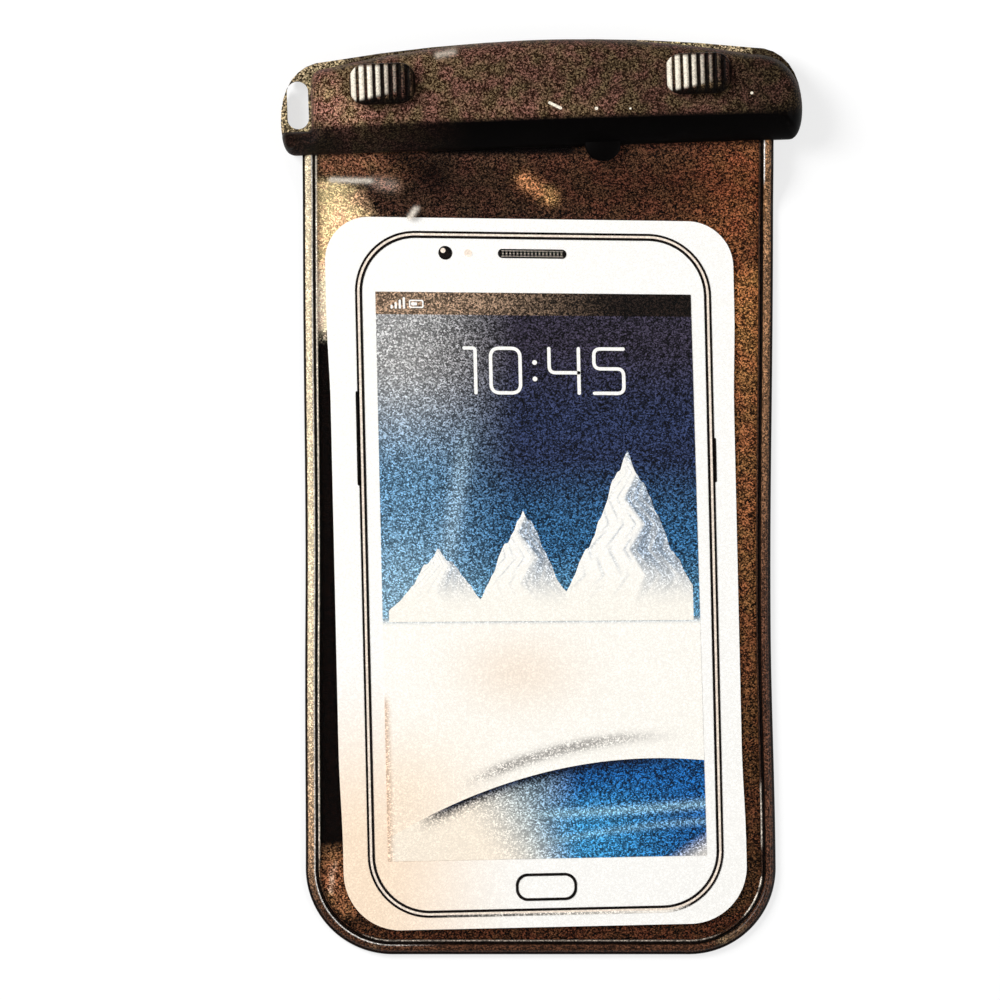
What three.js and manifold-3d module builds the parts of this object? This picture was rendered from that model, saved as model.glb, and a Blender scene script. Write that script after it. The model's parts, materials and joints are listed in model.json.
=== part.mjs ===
// A waterproof phone pouch, lying on its back. A two-part bar clamps the mouth of a flat film bag,
// and two twist latches hold the bar shut. Millimetres; +Z out of the front, +Y towards the clamp.
import * as THREE from "three";
import { mergeVertices } from "three/addons/utils/BufferGeometryUtils.js";
import Module from "manifold-3d";

const wasm = await Module();
wasm.setup();

// Bag
const bagLength = 176.5; // from the clamp's lower edge to the bottom of the rim
const bagWidth = 102.6;
const bagCornerRadius = 19;
const rimWidth = 3.2;
const rimThickness = 2.2;
const filmThickness = 0.4;
const filmGap = 0.2; // between the two films where the clamp presses them
const filmBulge = 0.8; // how far the front film stands up over the middle of the card
const slopeLength = 12; // run over which the films climb from the floor to the clamp
const neckDepth = 8.5; // how far the films reach into the clamp

// Clamp
const clampOverhang = 5.7; // how far each end stands out past the bag
const clampHeight = 23.5; // at the middle of the arch
const rearEndHeight = 20.3; // where the arch meets the round ends
const frontEndHeight = 18.8;
const rearThickness = 5.9;
const frontThickness = 6.5;
const partingGap = 0.2;
const clampTurn = 1.9; // degrees: the clamp sits slightly askew on the bag
const clampOffset = 1; // and a little to the right of the bag's middle
const frontFlank = 5.8; // run of the sloping lower flank at the middle
const endFlank = 5.4;
const edgeRound = 3.4;
const backRound = 1.4;
const neckClearance = 0.2;

// Half-round thumb tab under the front bar's lower edge
const tabRadius = 4;
const tabOffset = 13.2;
const tabReach = 3.5;
const tabThickness = 1.5;

// Lanyard eye through the rear bar's left end
const eyeWidth = 4.7;
const eyeLength = 10.5;
const eyeWall = 1.45;
const eyeHeight = 11;
const notchMargin = 0.6;

// Seal: a strip in a groove of the front bar, over a rib on the rear bar
const gasketWidth = 3;
const gasketThickness = 1.5;
const gasketOverlap = 2; // past each side of the films
const gasketHeight = 4.6;
const grooveClearance = 0.3;
const ribWidth = 1.4;

// Locating pegs of the rear bar
const pegSpacing = 28;
const pegRadius = 1.5;
const pegLength = 3;
const pegDrop = 6.5; // from the top of the arch down to the pegs

// Twist latches
const latchInset = 22.5; // from the clamp's end in to the latch's axis
const latchDrop = 8.6; // from the top of the arch down to the latch's axis
const knobLength = 14.5;
const knobWidth = 9;
const knobThickness = 3.3;
const knobCorner = 3.6;
const knobCrown = 1.3; // how far the knob's ends fall below its middle
const knobRibs = 8;
const ribDepth = 0.45;
const runningGap = 0.3;
const spindleRadius = 2;
const washerRadius = 3.4;
const washerThickness = 0.8;
const footLength = 8;
const footWidth = 4.4;
const footThickness = 1.6;
const footGap = 0.3; // between the foot and the web that it hooks
const screwRadius = 0.9;
const screwDepth = 4;
const screwHeadRadius = 1.7;
const screwHeadThickness = 0.5;
const screwBoreGap = 0.1;
const webThickness = 3.1; // rear bar left above the foot's pocket

// Insert card and its print
const cardThickness = 0.5;
const cardTurn = 1.3; // degrees: the card lies slightly askew in the bag
const cardShift = -0.4; // and a little to the left of its middle
const cardGap = 0.2;
const cardSideGap = 3.45; // to the rim
const cardLowGap = 2.7;
const cardTopGap = 15.6; // from the card's top edge up to the clamp's lower edge
const cardTopCorner = 9.8;
const cardBottomCorner = 12.6;
const printThickness = 0.1;
const printGap = 0.05; // bare card between two printed fields
const phoneSideGap = 5.85; // from the card's edge in to the printed phone
const printShift = 0.7; // the print lies a little to the right of the card's middle
const phoneTopGap = 3.8;
const phoneLowGap = 2.6;
const phoneCorner = 13.6;
const phoneLine = 0.5;
const phoneBorder = 0.6; // between the two outlines
const screenSideGap = 4.3; // from the phone's outline in to the screen
const screenTopGap = 12.6;
const screenLowGap = 13;
const statusBar = 4.9;
const clockDrop = 17; // from the screen's top down to the middle of the numerals
const clockHeight = 10.5;
const clockWidth = 7.2;
const clockPitch = 9.8;
const clockStroke = 0.75;
const earpieceDrop = 3.8; // from the phone's top edge down to the middle of the earpiece
const earpieceWidth = 15;
const earpieceHeight = 2;
const sensorOffset = 14; // both to the left of the earpiece's middle
const sensorRadius = 0.8;
const lensOffset = 19;
const lensRadius = 1.5;
const homeKeyWidth = 13;
const homeKeyHeight = 6;
const homeKeyLine = 0.5;

const roundSteps = 8; // in each half of a circle

// Places that follow from the sizes
const deg = Math.PI / 180;
const clampLength = bagWidth + 2 * clampOverhang;
const latchSpacing = clampLength - 2 * latchInset;
const latchHeight = clampHeight - latchDrop;
const pegHeight = clampHeight - pegDrop;
const halfBag = bagWidth / 2;
const halfFilm = halfBag - rimWidth - runningGap;
const neckZ = rearThickness + partingGap / 2;
const backNeckZ = neckZ - filmGap / 2 - filmThickness;
const frontNeckZ = neckZ + filmGap / 2;
const frontBase = rearThickness + partingGap;
const frontFace = frontBase + frontThickness;
const gasketLength = 2 * (halfFilm + gasketOverlap);
const cardWidth = bagWidth - 2 * (rimWidth + cardSideGap);
const cardLength = bagLength - rimWidth - cardLowGap - cardTopGap;
const phoneWidth = cardWidth - 2 * phoneSideGap;
const phoneLength = cardLength - phoneTopGap - phoneLowGap;
const screenWidth = phoneWidth - 2 * screenSideGap;
const screenLength = phoneLength - screenTopGap - screenLowGap;
const cardBase = filmThickness + cardGap;
const cardFace = cardBase + cardThickness;
const edgeDrop = (halfBag + clampOffset) * Math.sin(clampTurn * deg);
const slopeTop = -edgeDrop - runningGap;
const slopeBottom = slopeTop - slopeLength;
const frontEdgeZ = cardFace + 2 * printThickness + cardGap;
const eyeX = -clampLength / 2 + eyeWall + eyeWidth / 2;
const neckHalf = halfFilm + clampOffset + neckDepth * Math.sin(clampTurn * deg) + runningGap;
const neckTop = neckDepth + edgeDrop + runningGap;
const footTop = rearThickness - webThickness - footGap;
const footBase = footTop - footThickness;
const footPocketRadius = footLength / 2 + 2 * runningGap;

// The colours and finishes
const finish = (color, roughness, metalness = 0) =>
  new THREE.MeshStandardMaterial({ color, roughness, metalness });
const finishes = {
  abs: finish("#2a1f1a", 0.55),
  film: new THREE.MeshStandardMaterial({
    color: "#cfc4b4",
    roughness: 0.15,
    transparent: true,
    opacity: 0.35,
  }),
  darkFilm: finish("#2b1c16", 0.3),
  rim: finish("#d9c9ac", 0.2),
  gasket: finish("#171513", 0.9),
  steel: finish("#a9a9a6", 0.35, 1),
  nylon: finish("#3a342f", 0.7),
  card: finish("#f6f2ea", 0.7),
  ink: finish("#15100d", 0.6),
  border: finish("#dcd2c2", 0.6),
  status: finish("#4a3a32", 0.6),
  sky: finish("#2b5f92", 0.6),
  night: finish("#20264a", 0.6),
  mist: finish("#efe9e0", 0.6),
  ridge: finish("#f7f5f1", 0.6),
  bay: finish("#2f6f9f", 0.6),
  white: finish("#f4f4f2", 0.6),
};

// Turns geometry into a closed solid that can be joined and cut.
function solid(geometry) {
  const bare = geometry.clone();
  for (const name of Object.keys(bare.attributes)) {
    if (name !== "position") bare.deleteAttribute(name);
  }
  const merged = mergeVertices(bare, 1e-4);
  return new wasm.Manifold(
    new wasm.Mesh({
      numProp: 3,
      vertProperties: merged.attributes.position.array,
      triVerts: new Uint32Array(merged.index.array),
    }),
  );
}

// Turns a solid back into geometry.
function geometryOf(body) {
  const mesh = body.getMesh();
  const geometry = new THREE.BufferGeometry();
  geometry.setAttribute("position", new THREE.BufferAttribute(mesh.vertProperties, 3));
  geometry.setIndex(new THREE.BufferAttribute(mesh.triVerts, 1));
  return geometry;
}

// A flat outline extruded from one height to another.
function slab(shape, low, high, curveSegments = 4) {
  const geometry = new THREE.ExtrudeGeometry(shape, {
    depth: high - low,
    bevelEnabled: false,
    curveSegments,
  });
  return geometry.translate(0, 0, low);
}

// A rectangle centred on a point, with a corner radius at the top and another at the bottom.
function roundedRectangle(x, y, width, height, top, bottom = top) {
  const left = x - width / 2;
  const right = x + width / 2;
  const low = y - height / 2;
  const high = y + height / 2;
  const shape = new THREE.Shape();
  shape.moveTo(left + bottom, low);
  shape.lineTo(right - bottom, low);
  shape.absarc(right - bottom, low + bottom, bottom, -Math.PI / 2, 0, false);
  shape.lineTo(right, high - top);
  shape.absarc(right - top, high - top, top, 0, Math.PI / 2, false);
  shape.lineTo(left + top, high);
  shape.absarc(left + top, high - top, top, Math.PI / 2, Math.PI, false);
  shape.lineTo(left, low + bottom);
  shape.absarc(left + bottom, low + bottom, bottom, Math.PI, Math.PI * 1.5, false);
  return shape;
}

function rectangle(x, y, width, height) {
  const corners = [
    [-1, -1],
    [1, -1],
    [1, 1],
    [-1, 1],
  ];
  return new THREE.Shape(
    corners.map(([i, j]) => new THREE.Vector2(x + (i * width) / 2, y + (j * height) / 2)),
  );
}

function disc(x, y, radius) {
  const shape = new THREE.Shape();
  shape.absarc(x, y, radius, 0, Math.PI, false);
  shape.absarc(x, y, radius, Math.PI, Math.PI * 2, false);
  return shape;
}

// A round rod, or the cut for one.
function rod(x, y, radius, low, high) {
  return slab(disc(x, y, radius), low, high, roundSteps);
}

// A frame of even width: a rounded rectangle less the one inside it.
function frameShape(x, y, width, height, corner, line) {
  const shape = roundedRectangle(x, y, width, height, corner);
  const inner = Math.max(corner - line, 0.1);
  shape.holes.push(roundedRectangle(x, y, width - 2 * line, height - 2 * line, inner));
  return shape;
}

// A closed solid through rings of points: each ring has as many points, counter-clockwise from above.
function loft(rings) {
  const count = rings[0].length;
  const index = [];
  for (let level = 0; level + 1 < rings.length; level++) {
    for (let i = 0; i < count; i++) {
      const a = level * count + i;
      const b = level * count + ((i + 1) % count);
      index.push(a, b, b + count, a, b + count, a + count);
    }
  }
  const cap = (ring, start, up) => {
    const flat = ring.map((p) => new THREE.Vector2(p.x, p.y));
    for (const [a, b, c] of THREE.ShapeUtils.triangulateShape(flat, [])) {
      index.push(start + a, start + (up ? b : c), start + (up ? c : b));
    }
  };
  cap(rings[0], 0, false);
  cap(rings[rings.length - 1], (rings.length - 1) * count, true);
  const geometry = new THREE.BufferGeometry().setFromPoints(rings.flat());
  geometry.setIndex(index);
  return geometry;
}

// Clamp

// The clamp's outline seen from the front: a flat lower edge, bowed ends and an arched top.
function clampOutline(endHeight) {
  const half = clampLength / 2;
  const widest = clampHeight * 0.3;
  const shoulder = half - 10.5;
  const shape = new THREE.Shape();
  shape.moveTo(-half + 3, 0);
  shape.lineTo(half - 3, 0);
  shape.bezierCurveTo(half - 1, 0, half, widest / 2, half, widest);
  shape.bezierCurveTo(half, endHeight * 0.72, half - 3.5, endHeight, shoulder, endHeight);
  shape.quadraticCurveTo(0, 2 * clampHeight - endHeight, -shoulder, endHeight);
  shape.bezierCurveTo(-half + 3.5, endHeight, -half, endHeight * 0.72, -half, widest);
  shape.bezierCurveTo(-half, widest / 2, -half + 1, 0, -half + 3, 0);
  return shape.getPoints(8).slice(0, -1);
}

// One level of a bar: the outline drawn in from its ends, its top and its lower edge.
function clampRing(outline, z, endInset, topInset, lowInset) {
  const half = clampLength / 2;
  return outline.map((p) => {
    const low = lowInset(p.x / half);
    const x = (p.x * (half - endInset)) / half;
    const y = low + (p.y * (clampHeight - low - topInset)) / clampHeight;
    return new THREE.Vector3(x, y, z);
  });
}

// The front bar's lower flank runs furthest back at the middle of the clamp.
const flankAt = (share) => endFlank + (frontFlank - endFlank) * (1 - share * share);

// The opening in the clamp that the two films enter by.
function neckRecess(low, high) {
  const shape = new THREE.Shape();
  shape.moveTo(-neckHalf, -frontFlank);
  shape.lineTo(neckHalf, -frontFlank);
  shape.lineTo(neckHalf, neckTop);
  shape.lineTo(-neckHalf, neckTop);
  return slab(shape, low, high);
}

function frontBar() {
  const outline = clampOutline(frontEndHeight);
  const lip = 1;
  const steps = 5;
  const rings = [clampRing(outline, frontBase, 0, 0, () => 0)];
  for (let step = 0; step <= steps; step++) {
    const angle = (step / steps) * (Math.PI / 2);
    const inset = 1 - Math.cos(angle);
    const z = frontBase + lip + (frontThickness - lip) * Math.sin(angle);
    const low = (share) => flankAt(share) * inset;
    rings.push(clampRing(outline, z, edgeRound * inset, edgeRound * inset, low));
  }
  const tabBase = frontNeckZ + filmThickness + 2 * neckClearance;
  const tab = disc(tabOffset, tabRadius - tabReach, tabRadius);
  let body = solid(loft(rings)).add(solid(slab(tab, tabBase, tabBase + tabThickness)));
  const recessTop = frontNeckZ + filmThickness + neckClearance;
  const cuts = [
    neckRecess(frontBase - 1, recessTop),
    slab(
      roundedRectangle(
        0,
        gasketHeight,
        gasketLength + 2 * grooveClearance,
        gasketWidth + 2 * grooveClearance,
        1,
      ),
      frontBase - 1,
      frontNeckZ + filmThickness + gasketThickness + grooveClearance,
    ),
    notchForEye(),
  ];
  for (const side of [-1, 1]) {
    const x = (side * latchSpacing) / 2;
    const seat = frontFace - washerThickness + neckClearance;
    cuts.push(rod(x, latchHeight, spindleRadius + runningGap, 0, frontFace + 1));
    cuts.push(rod(x, latchHeight, washerRadius + runningGap, seat, frontFace + 1));
    const socket = frontBase + pegLength + runningGap;
    const peg = disc((side * pegSpacing) / 2, pegHeight, pegRadius + runningGap);
    cuts.push(slab(peg, frontBase - 1, socket));
  }
  for (const cut of cuts) body = body.subtract(solid(cut));
  return geometryOf(body);
}

// The front bar stops short of the lanyard eye, above its own lower flank.
function notchForEye() {
  const right = eyeX + eyeWidth / 2 + notchMargin;
  const low = eyeHeight - eyeLength / 2 - notchMargin;
  const shape = new THREE.Shape();
  shape.moveTo(-clampLength, low);
  shape.lineTo(right - 1, low);
  shape.absarc(right - 1, low + 1, 1, -Math.PI / 2, 0, false);
  shape.lineTo(right, clampHeight * 2);
  shape.lineTo(-clampLength, clampHeight * 2);
  return slab(shape, frontBase - 1, frontFace + 1);
}

function rearBar() {
  const outline = clampOutline(rearEndHeight);
  const flat = () => 0;
  const rings = [];
  const steps = 3;
  for (let step = 0; step <= steps; step++) {
    const angle = (step / steps) * (Math.PI / 2);
    const inset = backRound * (1 - Math.sin(angle));
    const z = backRound * (1 - Math.cos(angle));
    rings.push(clampRing(outline, z, inset, inset, () => inset));
  }
  rings.push(clampRing(outline, rearThickness, 0, 0, flat));
  let body = solid(loft(rings)).subtract(
    solid(neckRecess(backNeckZ - neckClearance - ribWidth / 2, rearThickness + 1)),
  );
  const rib = roundedRectangle(0, gasketHeight, gasketLength, ribWidth, ribWidth / 2);
  body = body.add(solid(slab(rib, backRound, backNeckZ)));
  for (const side of [-1, 1]) {
    const peg = disc((side * pegSpacing) / 2, pegHeight, pegRadius);
    body = body.add(solid(slab(peg, backRound, rearThickness + pegLength)));
  }
  const eye = roundedRectangle(eyeX, eyeHeight, eyeWidth, eyeLength, eyeWidth / 2 - 0.01);
  body = body.subtract(solid(slab(eye, -1, rearThickness + 1)));
  for (const side of [-1, 1]) {
    const x = (side * latchSpacing) / 2;
    const slotWidth = footWidth + 2 * runningGap;
    const slotLength = footLength + 2 * runningGap;
    const slot = roundedRectangle(x, latchHeight, slotWidth, slotLength, slotWidth / 2 - 0.01);
    const pocketTop = rearThickness - webThickness;
    body = body.subtract(solid(slab(slot, -1, rearThickness + 1)));
    body = body.subtract(solid(rod(x, latchHeight, footPocketRadius, -1, pocketTop)));
  }
  return geometryOf(body);
}

function sealGasket() {
  const shape = roundedRectangle(0, gasketHeight, gasketLength, gasketWidth, 0.7);
  const low = frontNeckZ + filmThickness;
  return slab(shape, low, low + gasketThickness, 2);
}

// Twist latch: each piece is made about the latch's own axis.

// A domed, ribbed knob with its spindle, bored for the screw.
function latchKnob() {
  const low = frontFace + runningGap;
  const half = knobLength / 2;
  const steps = knobRibs * 6;
  const arch = new THREE.Shape();
  arch.moveTo(-half, 0);
  arch.lineTo(half, 0);
  for (let step = steps; step >= 0; step--) {
    const share = (2 * step) / steps - 1;
    const dome = knobThickness - knobCrown * Math.abs(share) ** 3;
    const groove = (ribDepth * (1 + Math.cos((step / 6) * Math.PI * 2))) / 2;
    arch.lineTo(share * half, dome - groove);
  }
  const ribbed = new THREE.ExtrudeGeometry(arch, { depth: knobWidth, bevelEnabled: false });
  ribbed.rotateX(Math.PI / 2).translate(0, knobWidth / 2, low);
  const plan = roundedRectangle(0, 0, knobLength, knobWidth, knobCorner);
  const body = solid(ribbed)
    .intersect(solid(slab(plan, low, low + knobThickness + 1)))
    .add(solid(rod(0, 0, spindleRadius, footTop, low + 1)))
    .subtract(solid(rod(0, 0, screwRadius + screwBoreGap, 0, footTop + screwDepth)));
  return geometryOf(body);
}

function latchWasher() {
  const shape = disc(0, 0, washerRadius);
  shape.holes.push(disc(0, 0, spindleRadius + screwBoreGap));
  const low = frontFace - washerThickness + runningGap;
  return slab(shape, low, low + washerThickness - screwBoreGap, roundSteps);
}

function latchFoot() {
  const shape = roundedRectangle(0, 0, footLength, footWidth, footWidth / 2 - 0.01);
  shape.holes.push(disc(0, 0, screwRadius + screwBoreGap));
  return slab(shape, footBase, footTop - screwBoreGap, roundSteps);
}

function latchScrew() {
  const headTop = footBase;
  const head = rod(0, 0, screwHeadRadius, headTop - screwHeadThickness, headTop);
  const shank = rod(0, 0, screwRadius, headTop - 0.1, footTop + screwDepth - 0.2);
  let body = solid(head).add(solid(shank));
  for (const [width, height] of [
    [2 * screwRadius, 0.4],
    [0.4, 2 * screwRadius],
  ]) {
    const slot = roundedRectangle(0, 0, width, height, 0.05);
    body = body.subtract(solid(slab(slot, -1, headTop - screwHeadThickness / 2, 2)));
  }
  return geometryOf(body);
}

// Bag: y is measured up from the clamp's lower edge, so it is negative along the bag.

// How far the films and the rim have climbed towards the clamp: 0 on the floor, 1 at the neck.
function climb(y) {
  return THREE.MathUtils.smoothstep(y, slopeBottom, slopeTop);
}

// Half the film's width at a height, narrowed round the bottom corners.
function filmHalfWidth(y) {
  const radius = bagCornerRadius - rimWidth - runningGap;
  const above = y + bagLength - rimWidth - runningGap;
  if (above >= radius) return halfFilm;
  const fall = radius - above;
  return halfFilm - radius + Math.sqrt(Math.max(radius * radius - fall * fall, 0));
}

// A thin sheet of even thickness over the bag's plan, with its underside at a height.
function film(columns, underside) {
  const bottom = -bagLength + rimWidth + runningGap;
  const radius = bagCornerRadius - rimWidth - runningGap;
  const heights = [];
  for (let i = 0; i < 6; i++) heights.push(bottom + radius * (1 - Math.cos((i / 6) * (Math.PI / 2))));
  for (let i = 0; i < 6; i++) {
    heights.push(THREE.MathUtils.lerp(bottom + radius, slopeBottom, i / 6));
  }
  for (let i = 0; i <= 6; i++) heights.push(slopeBottom + (slopeLength * i) / 6);
  heights.push(neckDepth);
  const low = [];
  for (const y of heights) {
    const half = filmHalfWidth(y);
    for (let i = 0; i <= columns; i++) {
      const x = half * ((2 * i) / columns - 1);
      low.push(new THREE.Vector3(x, y, underside(x, y)));
    }
  }
  const high = low.map((p) => new THREE.Vector3(p.x, p.y, p.z + filmThickness));
  const index = [];
  const count = low.length;
  const across = columns + 1;
  const quad = (a, b, c, d) => index.push(a, b, c, a, c, d);
  for (let row = 0; row + 1 < heights.length; row++) {
    for (let i = 0; i < columns; i++) {
      const a = row * across + i;
      quad(count + a, count + a + 1, count + a + 1 + across, count + a + across);
      quad(a, a + across, a + 1 + across, a + 1);
    }
    const left = row * across;
    const right = left + columns;
    quad(left, count + left, count + left + across, left + across);
    quad(right, right + across, count + right + across, count + right);
  }
  const last = (heights.length - 1) * across;
  for (let i = 0; i < columns; i++) {
    quad(i, i + 1, count + i + 1, count + i);
    quad(last + i, count + last + i, count + last + i + 1, last + i + 1);
  }
  const geometry = new THREE.BufferGeometry().setFromPoints([...low, ...high]);
  geometry.setIndex(index);
  return geometry;
}

const backFilm = () => film(4, (x, y) => backNeckZ * climb(y));

function frontFilm() {
  return film(10, (x, y) => {
    const across = 1 - (x / halfFilm) ** 2;
    const along = 1 - ((y + bagLength / 2) / (bagLength / 2)) ** 4;
    const flat = frontEdgeZ + filmBulge * across * Math.max(along, 0);
    return THREE.MathUtils.lerp(flat, frontNeckZ, climb(y));
  });
}

// The rim: a rounded bead carried down one side, round the bottom and up the other side.
function weldedRim() {
  const middle = halfBag - rimWidth / 2;
  const radius = bagCornerRadius - rimWidth / 2;
  const bottom = -bagLength + rimWidth / 2;
  const path = [];
  const station = (x, y, nx, ny) => path.push({ x, y, nx, ny });
  const side = (sign) => {
    const askew = Math.tan(clampTurn * deg);
    const top = (sign * middle - clampOffset) * askew - (rimWidth / 2) * askew - runningGap;
    const points = [];
    for (let i = 0; i <= 6; i++) points.push(THREE.MathUtils.lerp(top, slopeBottom, i / 6));
    for (let i = 1; i <= 2; i++) {
      points.push(THREE.MathUtils.lerp(slopeBottom, bottom + radius, i / 2));
    }
    return points;
  };
  for (const y of side(-1)) station(-middle, y, -1, 0);
  for (let i = 1; i <= 8; i++) {
    const angle = Math.PI + ((i / 8) * Math.PI) / 2;
    const nx = Math.cos(angle);
    const ny = Math.sin(angle);
    station(-middle + radius + radius * nx, bottom + radius + radius * ny, nx, ny);
  }
  for (let i = 0; i <= 8; i++) {
    const angle = -Math.PI / 2 + ((i / 8) * Math.PI) / 2;
    const nx = Math.cos(angle);
    const ny = Math.sin(angle);
    station(middle - radius + radius * nx, bottom + radius + radius * ny, nx, ny);
  }
  for (const y of side(1).reverse().slice(1)) station(middle, y, 1, 0);

  const corner = rimThickness * 0.35;
  const section = roundedRectangle(0, rimThickness / 2, rimWidth, rimThickness, corner)
    .getPoints(1)
    .slice(0, -1);
  const lift = backNeckZ - (rimThickness - 2 * filmThickness - filmGap) / 2;
  const points = [];
  for (const { x, y, nx, ny } of path) {
    for (const p of section) {
      points.push(new THREE.Vector3(x + nx * p.x, y + ny * p.x, lift * climb(y) + p.y));
    }
  }
  const count = section.length;
  const index = [];
  for (let s = 0; s + 1 < path.length; s++) {
    for (let i = 0; i < count; i++) {
      const a = s * count + i;
      const b = s * count + ((i + 1) % count);
      index.push(a, b + count, b, a, a + count, b + count);
    }
  }
  const last = (path.length - 1) * count;
  for (const [a, b, c] of THREE.ShapeUtils.triangulateShape(section, [])) {
    index.push(a, b, c, last + a, last + c, last + b);
  }
  const geometry = new THREE.BufferGeometry().setFromPoints(points);
  geometry.setIndex(index);
  return geometry;
}

// Insert card: made about its own centre, face up.

function insertCard() {
  const shape = roundedRectangle(0, 0, cardWidth, cardLength, cardTopCorner, cardBottomCorner);
  return slab(shape, cardBase, cardFace);
}

const phoneY = (phoneLowGap - phoneTopGap) / 2;
const screenY = phoneY + phoneLength / 2 - screenTopGap - screenLength / 2;
const screenLeft = -screenWidth / 2;
const screenRight = screenWidth / 2;
const screenLow = screenY - screenLength / 2;
const screenHigh = screenY + screenLength / 2;

// A printed field lies on the card, or on the field under it.
function printed(shape, layer = 0, curveSegments = 3) {
  const low = cardFace + layer * printThickness;
  return slab(shape, low, low + printThickness, curveSegments);
}

// The lines that part the screen's fields of colour, each as shares of the screen's height at the
// left edge, at the curve's middle point and at the right edge.
const statusShare = 1 - statusBar / screenLength;
const lines = {
  bottom: [0, 0, 0],
  shore: [0.04, 0.2, 0.17],
  horizon: [0.42, 0.42, 0.42],
  dusk: [0.72, 0.66, 0.76],
  status: [statusShare, statusShare, statusShare],
  top: [1, 1, 1],
};

// The field between two of those lines.
function band(low, high) {
  const at = (share) => screenLow + share * screenLength;
  const under = (share) => at(share) - printGap;
  const shape = new THREE.Shape();
  shape.moveTo(screenLeft, at(low[0]));
  shape.quadraticCurveTo(0, at(low[1]), screenRight, at(low[2]));
  shape.lineTo(screenRight, under(high[2]));
  shape.quadraticCurveTo(0, under(high[1]), screenLeft, under(high[0]));
  return printed(shape);
}

// A ridge of pale hills: three peaks that fall to the left, the highest at the right.
function ridge() {
  const at = (share) => screenLow + share * screenLength;
  const across = (share) => screenLeft + share * screenWidth;
  const shape = new THREE.Shape();
  shape.moveTo(across(0.02), at(0.42));
  shape.lineTo(across(0.98), at(0.42));
  shape.lineTo(across(0.98), at(0.54));
  shape.quadraticCurveTo(across(0.78), at(0.86), across(0.58), at(0.54));
  shape.quadraticCurveTo(across(0.45), at(0.68), across(0.33), at(0.5));
  shape.quadraticCurveTo(across(0.19), at(0.6), across(0.02), at(0.44));
  return shape;
}

// A numeral of straight strokes on the seven places a, b, c, d, e, f and g.
const strokes = { 0: "abcdef", 1: "bc", 4: "bcfg", 5: "acdfg" };

function numeral(digit, x, y) {
  const width = clockWidth;
  const w = clockStroke;
  const half = clockHeight / 2;
  const places = {
    a: [0, half - w / 2, width, w],
    b: [width / 2 - w / 2, half / 2, w, half],
    c: [width / 2 - w / 2, -half / 2, w, half],
    d: [0, -half + w / 2, width, w],
    e: [-width / 2 + w / 2, -half / 2, w, half],
    f: [-width / 2 + w / 2, half / 2, w, half],
    g: [0, 0, width, w],
  };
  const bars = [...strokes[digit]].map((key) => {
    const [px, py, bw, bh] = places[key];
    return solid(printed(rectangle(x + px, y + py, bw, bh), 1));
  });
  return geometryOf(bars.reduce((whole, bar) => whole.add(bar)));
}

// Assembly

const part = new THREE.Group();
const clamp = new THREE.Group();
const card = new THREE.Group();
const print = new THREE.Group();
clamp.rotation.z = clampTurn * deg;
clamp.position.x = clampOffset;
card.rotation.z = cardTurn * deg;
card.position.x = cardShift;
card.position.y = -cardTopGap - cardLength / 2;
print.position.x = printShift;
card.add(print);
part.add(clamp, card);

function place(group, name, geometry, material, x = 0, y = 0) {
  const mesh = new THREE.Mesh(geometry, material);
  mesh.name = name;
  mesh.position.set(x, y, 0);
  group.add(mesh);
}

place(clamp, "front_bar", frontBar(), finishes.abs);
place(clamp, "rear_bar", rearBar(), finishes.abs);
place(clamp, "seal_gasket", sealGasket(), finishes.gasket);
for (const [side, sign] of [
  ["left", -1],
  ["right", 1],
]) {
  const x = (sign * latchSpacing) / 2;
  place(clamp, side + "_latch_knob", latchKnob(), finishes.abs, x, latchHeight);
  place(clamp, side + "_latch_washer", latchWasher(), finishes.nylon, x, latchHeight);
  place(clamp, side + "_latch_foot", latchFoot(), finishes.nylon, x, latchHeight);
  place(clamp, side + "_latch_screw", latchScrew(), finishes.steel, x, latchHeight);
}

place(part, "front_film", frontFilm(), finishes.film);
place(part, "back_film", backFilm(), finishes.darkFilm);
place(part, "welded_rim", weldedRim(), finishes.rim);

place(card, "insert_card", insertCard(), finishes.card);

// A line that follows the phone's outline at a distance inside it.
function phoneFrame(inset, line) {
  const width = phoneWidth - 2 * inset;
  const height = phoneLength - 2 * inset;
  return printed(frameShape(0, phoneY, width, height, phoneCorner - inset, line));
}

const borderInset = phoneLine + printGap;
const innerInset = borderInset + phoneBorder + printGap;
place(print, "print_outline_outer", phoneFrame(0, phoneLine), finishes.ink);
place(print, "print_border", phoneFrame(borderInset, phoneBorder), finishes.border);
place(print, "print_outline_inner", phoneFrame(innerInset, phoneLine), finishes.ink);

const topY = phoneY + phoneLength / 2 - earpieceDrop;
const lowY = (screenLow + phoneY - phoneLength / 2) / 2;
const pill = (y, width, height) => roundedRectangle(0, y, width, height, height / 2 - 0.1);
const keyLine = pill(lowY, homeKeyWidth, homeKeyHeight);
keyLine.holes.push(pill(lowY, homeKeyWidth - 2 * homeKeyLine, homeKeyHeight - 2 * homeKeyLine));
const earpiece = pill(topY, earpieceWidth, earpieceHeight);
place(print, "print_earpiece", printed(earpiece), finishes.ink);
place(print, "print_sensor", printed(disc(-sensorOffset, topY, sensorRadius)), finishes.border);
place(print, "print_lens", printed(disc(-lensOffset, topY, lensRadius)), finishes.ink);
place(print, "print_home_key", printed(keyLine), finishes.ink);

place(print, "print_status_bar", band(lines.status, lines.top), finishes.status);
place(print, "print_night_sky", band(lines.dusk, lines.status), finishes.night);
place(print, "print_sky", band(lines.horizon, lines.dusk), finishes.sky);
place(print, "print_mist", band(lines.shore, lines.horizon), finishes.mist);
place(print, "print_bay", band(lines.bottom, lines.shore), finishes.bay);
place(print, "print_ridge", printed(ridge(), 1), finishes.ridge);

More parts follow.
